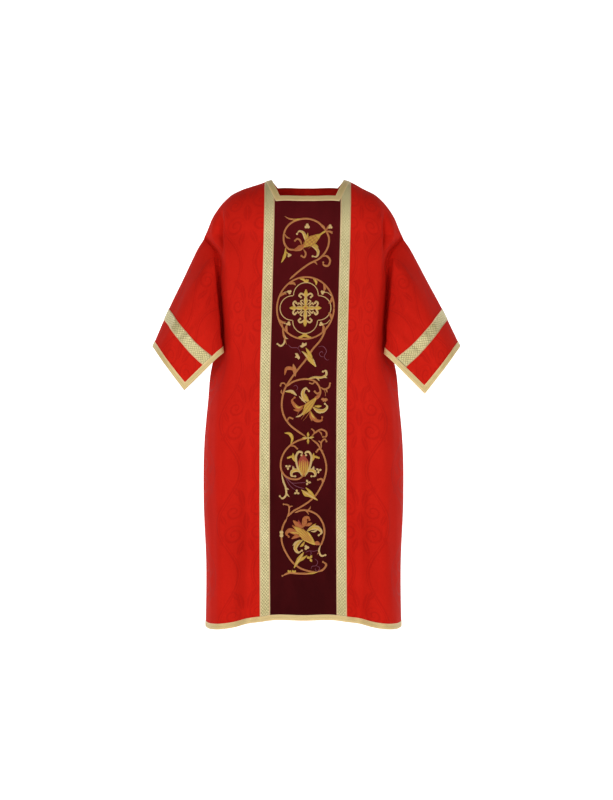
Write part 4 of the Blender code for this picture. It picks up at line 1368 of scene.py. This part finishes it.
m.curl("copper", 3.6, (34, 69), (27, 62), (20, 64))
m.leaf("cream", 9, (-45, 42), (-28, 42), (-13, 31))
m.stem("gold", 2.4, (-42, 41), (-28, 39), (-18, 34), taper=(0.2, 0.3), layer=3)
m.tendril((-24, 54), (-16, 58), (-11, 50), (-17, 44), width=1.4)
m.curl("rust", 10, (6, 6), (-8, -1), (-20, 8), (-25, 20), (-19, 26))
m.leaf("rust", 8, (4, 0), (-9, -7), (-22, -6))
m.leaf("gold", 5, (2, 4), (-9, 0), (-19, 8), layer=3)
m.curl("rust", 10, (20, -6), (27, -22), (39, -34), (52, -33), (53, -25))
m.leaf("rust", 8, (22, -8), (24, -24), (27, -36))
m.leaf("gold", 5, (23, -9), (27, -20), (36, -30), layer=3)
m.petal("cream", "gold", 10, (16, 14), (4, 28), (3, 42), (10, 50), (18, 43), layer=2)
m.leaf("gold", 7, (20, 14), (12, 26), (9, 36), layer=2)
m.leaf("cream", 5, (12, 10), (0, 22), (-8, 30), layer=2)
m.petal("cream", "gold", 10, (28, 2), (42, -8), (58, -8), (66, 3), (60, 10), layer=2)
m.leaf("gold", 7, (32, 4), (44, 3), (52, 4), layer=2)
m.leaf("cream", 4.5, (30, -2), (42, -12), (50, -16), layer=2)
m.leaf("gold", 21, (38, 26), (20, 6), (2, -20), layer=4)
for fan_out in (-1.5, -0.5, 0.5, 1.5):
    m.stem("rust", 1.3, (33 + 2 * fan_out, 20 - 2 * fan_out), (18 + 5 * fan_out, 4 - 4 * fan_out),
           (0 + 7 * fan_out, -22 - 3 * fan_out),
           (-5 + 5 * fan_out, -30 - 4 * fan_out), taper=(0.2, 0.3), layer=7)
m.leaf("cream", 5, (6, -10), (-6, -22), (-16, -25), layer=3)
m.leaf("rust", 9, (46, 36), (38, 26), (28, 16), layer=3)
m.curl("copper", 4.2, (-38, -36), (-32, -26), (-24, -29))
print("bands so far:", sum(map(len, bands.values())))

# %% Fourth ring: a tulip
m = Motif(-0.762, 1)
m.stem("copper", 5.0, (12, 78), (-9, 74), (-27, 65), (-43, 51), (-54, 33), (-59, 12), (-56, -8),
       (-46, -21), (-30, -28),
       (-13, -28), (0, -20))
m.stem("copper", 5.0, (20, 76), (36, 64), (47, 46), (56, 25), (60, 2), (56, -24), (46, -48), (34, -68),
       (16, -86),
       (-5, -100), (-26, -112), (-42, -128))
m.fan("gold", 6.5, 16, 12, 79, 180, 8, 90, 270, layer=3)
m.leaf("cream", 3, (-2, 79), (12, 79), (26, 80), layer=6)
m.curl("copper", 4.6, (18, 79), (32, 94), (47, 101), (60, 93), (58, 82), (51, 82))
m.curl("copper", 3.8, (28, 90), (27, 98), (22, 102))
m.leaf("copper", 4, (38, 97), (46, 92), (48, 84))
m.leaf("gold", 9, (-33, 62), (-29, 78), (-36, 90), (-50, 92))
m.curl("copper", 4, (-34, 58), (-24, 58), (-16, 51))
m.curl("copper", 4.2, (47, 52), (47, 68), (56, 76), (60, 70))
m.leaf("copper", 4, (47, 62), (42, 70), (38, 71))
m.curl("copper", 4.4, (52, 44), (40, 50), (34, 43))
m.curl("copper", 4.6, (50, -40), (48, -28), (38, -30))
m.leaf("red", 33, (1, -20), (0, 8), (-1, 36), layer=2)
m.leaf("rust", 27, (1, -22), (0, 0), (-1, 24), layer=3)
for fan_out in (-10, -5, 1, 7, 12):
    m.leaf("gold", 3.6, (1 + fan_out * 0.1, -22), (fan_out * 0.9, -2), (fan_out * 0.9, 20), layer=5)
for hand in (-1, 1):
    m.petal("cream", "cream", 5.4, (3 * hand + 1, -22), (13 * hand + 1, -4), (19 * hand + 1, 16),
            (19 * hand + 1, 34),
            (12 * hand + 1, 43), (4 * hand + 1, 40), (6 * hand + 1, 34), layer=5)
    m.petal("cream", "gold", 9, (4 * hand + 1, -12), (18 * hand, -5), (30 * hand, -10), (30 * hand, -20),
            (21 * hand, -21), layer=3)
    m.leaf("cream", 6, (20 * hand, -6), (26 * hand, 0), (27 * hand, 6), layer=2)
    m.leaf("gold", 9, (16 * hand, 12), (25 * hand, 27), (27 * hand, 40), layer=1)
    m.curl("gold", 5.5, (19 * hand, 18), (30 * hand, 30), (40 * hand, 27), layer=1)
m.tendril((-48, -20), (-30, -38), (-8, -38), (8, -37), end=0.1)
m.tendril((-48, -20), (-20, -46), (4, -54), end=0.1)
m.tendril((-48, -20), (-34, -46), (-20, -58), end=0.1)
m.tendril((-20, 2), (-32, 6), (-38, 4), end=0.1)
m.tendril((21, -2), (32, 0), (40, -3), end=0.1)
for x, y, turn in ((12, -37, 0), (-17, -63, 90), (-40, 3, 150), (40, -6, 20)):
    m.fan("cream", 6.5, 8, x, y, turn, turn + 120, turn + 240)
m.leaf("gold", 10, (-6, -56), (14, -68), (38, -84), layer=2)
m.leaf("gold", 8, (6, -50), (20, -64), (30, -74), layer=3)
m.leaf("cream", 3.4, (-4, -57), (16, -70), (36, -83), layer=5)
m.leaf("gold", 7, (-4, -58), (6, -70), (16, -74), layer=2)
m.curl("cream", 4.8, (-57, -10), (-52, -34), (-45, -54), (-46, -72), (-55, -79), (-61, -73))
m.leaf("cream", 4, (-48, -46), (-44, -52), (-37, -56))
m.leaf("cream", 4, (-45, -60), (-42, -68), (-36, -75))
print("bands so far:", sum(map(len, bands.values())))

# %% Last ring: an open flower
m = Motif(-0.9526, 0)
m.stem("copper", 5.0, (-40, 62), (-51, 42), (-56, 18), (-54, -6), (-43, -32), (-27, -55), (-9, -69),
       (16, -78), (38, -81))
m.curl("copper", 5.0, (34, -81), (54, -72), (60, -60), (52, -54))
m.stem("copper", 5.0, (-22, 74), (-4, 81), (17, 79), (38, 68), (51, 49), (56, 26), (52, 3), (44, -14))
m.curl("cream", 4.6, (46, -8), (42, -28), (48, -38), (58, -36))
m.leaf("copper", 4, (43, -20), (42, -28), (36, -34))
m.stem("gold", 6, (-56, 22), (-56, 15), taper=(0.4, 0.4), layer=2)
for y in (15, 23):
    dot("cream", -56, m.shift[1] + y, 5, 3)
m.curl("copper", 4.2, (-43, 58), (-36, 78), (-38, 94), (-50, 97))
m.leaf("copper", 4, (-37, 84), (-32, 91), (-25, 92))
m.leaf("copper", 4, (0, 82), (10, 78), (15, 69))
m.leaf("copper", 4, (12, 81), (18, 86), (20, 92))
m.leaf("rust", 13, (4, 38), (-14, 44), (-26, 55), layer=1)
m.leaf("rust", 10, (0, 36), (-20, 36), (-28, 42), layer=1)
m.curl("rust", 13, (0, 36), (4, 50), (6, 60), (14, 62), (17, 56), layer=1)
m.leaf("rust", 9, (6, 40), (16, 44), (24, 48), layer=1)
m.curl("rust", 13, (-4, 20), (-22, 24), (-36, 28), (-43, 20), (-37, 12), layer=1)
m.leaf("gold", 6, (-4, 20), (-20, 22), (-33, 24), layer=3)
m.leaf("rust", 9, (-4, 14), (-20, 12), (-30, 6), layer=1)
m.leaf("red", 6, (0, 40), (-8, 46), (-12, 56), layer=3)
m.petal("cream", "gold", 11, (10, 26), (24, 35), (40, 34), (48, 22), (41, 16), layer=3)
m.leaf("gold", 6, (18, 32), (26, 40), (34, 46), layer=2)
m.leaf("cream", 5, (20, 26), (30, 26), (38, 30), layer=2)
m.petal("cream", "gold", 10, (0, 4), (-14, -6), (-20, -20), (-12, -29), (-3, -24), layer=3)
m.leaf("gold", 7, (4, 0), (-2, -10), (-8, -14), layer=2)
m.leaf("cream", 5, (-8, 4), (-20, -4), (-27, -12), layer=2)
m.leaf("gold", 25, (-22, 38), (2, 18), (32, -9), layer=5)
for fan_out in (-2, -1, 0, 1, 2):
    m.stem("rust", 1.4, (-14 + 4 * fan_out, 32 + 4.5 * fan_out), (2 + 3 * fan_out, 17 + 3.4 * fan_out),
           (22 + fan_out, -1 + fan_out), taper=(0.25, 0.3), layer=9)
m.leaf("rust", 12, (26, -7), (36, -5), (45, -9), layer=4)
m.leaf("gold", 11, (-24, -70), (-14, -52), (2, -28), layer=2)
m.leaf("gold", 7, (-16, -56), (-2, -46), (11, -36), layer=2)
m.leaf("cream", 3, (-22, -66), (-12, -50), (0, -31), layer=5)
m.berry("cream", 3.6, 9, -16, 120)
m.fan("gold", 7, 10, 18, -45, 60, 150, 300)
m.tendril((5, -30), (16, -25), (28, -26), (40, -23))
m.tendril((17, -25), (21, -30), (18, -38))
m.tendril((28, -44), (38, -54), (34, -63), (23, -66), (20, -74), width=1.6)
m.tendril((34, -63), (43, -70), (38, -78), (31, -74), (34, -69), width=1.6)
m.curl("copper", 5.4, (38, -81), (16, -84), (-10, -84), (-38, -83), (-54, -90), layer=0)
m.fan("gold", 6, 9, -36, -83, 60, 110, layer=2)
m.fan("gold", 6, 9, -24, -83, 60, 115, layer=2)
m.leaf("gold", 5, (8, -83), (24, -83), (38, -80), layer=2)
print("bands in all:", sum(map(len, bands.values())))

# %% [markdown]
# Now the bands are laid on the velvet. The drawing is flat, so each point goes
# to the panel's coordinate at that height and then out along the cloth's own
# direction, with the padding and layers as its height.

# %% From the drawing to the panel
def panel_place(drawn):
    """Panel coordinates for points drawn in millimetres."""
    a, z = drawn[..., 0].ravel() / 1000, drawn[..., 1].ravel() / 1000
    ridge, rounding, hem = shoulder_lines(np.abs(a))
    below = ridge - rounding
    over = np.arccos(np.clip(1 - (ridge - z) / rounding, -1, 1)) / (math.pi / 2)
    return a, np.where(z < below, 1 + (below - z) / (below - hem), over)


def quads(rows, columns, base):
    index = base + np.arange(rows * columns).reshape(rows, columns)
    corners = [index[:-1, :-1], index[1:, :-1], index[1:, 1:], index[:-1, 1:]]
    return np.stack(corners, -1).reshape(-1, 4).tolist()


print("the medallion's middle lies at", np.round(np.ravel(panel_place(np.array([[0.0, -343.5]]))), 3))

# %% Lay the embroidery
embroidery = {}
for key, drawn in bands.items():
    places = np.concatenate([place.reshape(-1, 2) for place, _, _ in drawn])
    points, normal = lay_body("front", *panel_place(places))
    points = points + normal * np.concatenate([height.ravel() for _, height, _ in drawn])[:, None]
    flat = np.concatenate([pattern.reshape(-1, 2) for _, _, pattern in drawn])
    faces, base = [], 0
    for place, _, _ in drawn:
        faces += quads(*place.shape[:2], base)
        base += place.size // 2
    embroidery[key] = add_mesh(f"embroidery_{key}", points, faces, flat, THREADS[key])
    print(f"{key}: {len(drawn)} bands, {len(faces)} faces")

# %% [markdown]
# ## What each piece is
# Every piece goes with the garment's one body and stands for its plain CAD solid, which is hidden. The table
# lists the flat size each cloth piece was cut to.

# %% Pieces and their cuts
CUTS = {
    # node: width and length of the cut, its area, how it is held, what it lies on
    "front_body": ((0.82, 1.22), 0.773, "hung", ()),
    "back_body": ((0.79, 1.22), 0.767, "hung", ()),
    "left_sleeve": ((0.73, 0.34), 0.153, "draped", ("front_body", "back_body")),
    "right_sleeve": ((0.73, 0.33), 0.145, "draped", ("front_body", "back_body")),
    "orphrey_panel": ((0.174, 1.10), 0.190, "laid", ("front_body",)),
    "left_galloon": ((0.027, 1.20), None, "laid", ("front_body",)),
    "right_galloon": ((0.027, 1.20), None, "laid", ("front_body",)),
    "left_sleeve_band": ((0.033, 0.446), None, "laid", ("left_sleeve",)),
    "right_sleeve_band": ((0.033, 0.418), None, "laid", ("right_sleeve",)),
    "left_sleeve_edge_braid": ((0.015, 0.86), None, "folded", ("left_sleeve",)),
    "right_sleeve_edge_braid": ((0.015, 0.80), None, "folded", ("right_sleeve",)),
    "neck_braid": ((0.015, 0.80), None, "folded", ("front_body", "back_body")),
    "hem_braid": ((0.015, 1.62), None, "folded", ("front_body", "back_body")),
}
for node in CUTS:
    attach(PIECES[node], "root")
    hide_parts(node)
for piece in embroidery.values():
    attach(piece, "root")
print(len(PIECES), "cut pieces and", len(embroidery), "threads of embroidery")

# %% [markdown]
# ## The room
# A plain pale floor runs up into a pale wall, and the garment hangs above it
# as if worn. Two large soft lights stand in front, the stronger to the left,
# and two weak ones behind, so the creases stay soft and no side goes dark.

# %% Floor and wall
MIDDLE = (cad_low + cad_high) / 2
FLOOR, WIDE, HIGH = cad_low.z - 0.46, 40.0, 7.0
BEND, ROUND = 2.4, 1.4  # where the floor starts to bend up, and the radius of the bend
turns = np.linspace(0.1, math.pi / 2, 14)
bend = [(BEND + ROUND * math.sin(t), FLOOR + ROUND * (1 - math.cos(t))) for t in turns]
profile = [(-WIDE, FLOOR), (BEND, FLOOR), *bend, (BEND + ROUND, FLOOR + HIGH)]
sweep = [(x, y, z) for y, z in profile for x in (-WIDE, WIDE)]
sweep_faces = [(2 * i, 2 * i + 1, 2 * i + 3, 2 * i + 2) for i in range(len(profile) - 1)]
pale = bpy.data.materials.new("pale_wall")
pale.use_nodes = True
wall_shader = pale.node_tree.nodes["Principled BSDF"]
wall_shader.inputs["Base Color"].default_value = (0.90, 0.90, 0.90, 1)
wall_shader.inputs["Roughness"].default_value = 0.9
wall_shader.inputs["Emission Color"].default_value = (1, 1, 1, 1)
backdrop = add_mesh("backdrop", sweep, sweep_faces, [(0, 0)] * len(sweep), pale)


def seen_pale(tree, socket, seen, given):
    """A strength that looks pale to the eye and gives less light than that."""
    sight = tree.nodes.new("ShaderNodeLightPath")
    strength = tree.nodes.new("ShaderNodeMath")
    strength.operation = "MULTIPLY_ADD"
    strength.inputs[1].default_value = seen - given
    strength.inputs[2].default_value = given
    tree.links.new(sight.outputs["Is Camera Ray"], strength.inputs[0])
    tree.links.new(strength.outputs[0], socket)


seen_pale(pale.node_tree, wall_shader.inputs["Emission Strength"], 0.8, 0.45)
print(f"floor {FLOOR:.2f} m, {cad_low.z - FLOOR:.2f} m below the hem")

# %% Lights
LIGHTS = {
    # name: place, size, power
    "key": ((-2.3, -5.1, 0.2), 1.8, 100),
    "fill": ((2.5, -5.0, 0.0), 1.8, 72),
    "behind_left": ((-3.4, 2.4, 0.6), 2.6, 26),
    "behind_right": ((3.4, 2.2, 0.5), 2.6, 22),
}
for name, (place, size, power) in LIGHTS.items():
    data = bpy.data.lights.new(name, "AREA")
    data.energy, data.size = power, size
    lamp = bpy.data.objects.new(name, data)
    lamp.location = place
    lamp.rotation_euler = (MIDDLE - lamp.location).to_track_quat("-Z", "Y").to_euler()
    bpy.context.scene.collection.objects.link(lamp)
    print(f"{name}: {(MIDDLE - lamp.location).length:.1f} m away")

world = bpy.data.worlds.new("room")
bpy.context.scene.world = world
world.use_nodes = True
sky = world.node_tree.nodes["Background"]
sky.inputs["Color"].default_value = (1.0, 0.99, 0.98, 1)
seen_pale(world.node_tree, sky.inputs["Strength"], 1.0, 0.15)

# %% Camera
AWAY, TALL = 6.0, 2.1336  # how far the camera stands, and how much it sees at that distance
EYE = -0.584  # height of the camera
camera_data = bpy.data.cameras.new("camera")
camera_data.sensor_fit = "VERTICAL"
camera_data.sensor_height = 24
camera_data.lens = camera_data.sensor_height * AWAY / TALL
camera = bpy.data.objects.new("camera", camera_data)
camera.location = (MIDDLE.x, -AWAY, EYE)
camera.rotation_euler = (math.pi / 2, 0, 0)
bpy.context.scene.collection.objects.link(camera)
bpy.context.scene.camera = camera
bpy.context.scene.view_settings.view_transform = "Standard"
print(f"lens {camera_data.lens:.1f} mm")
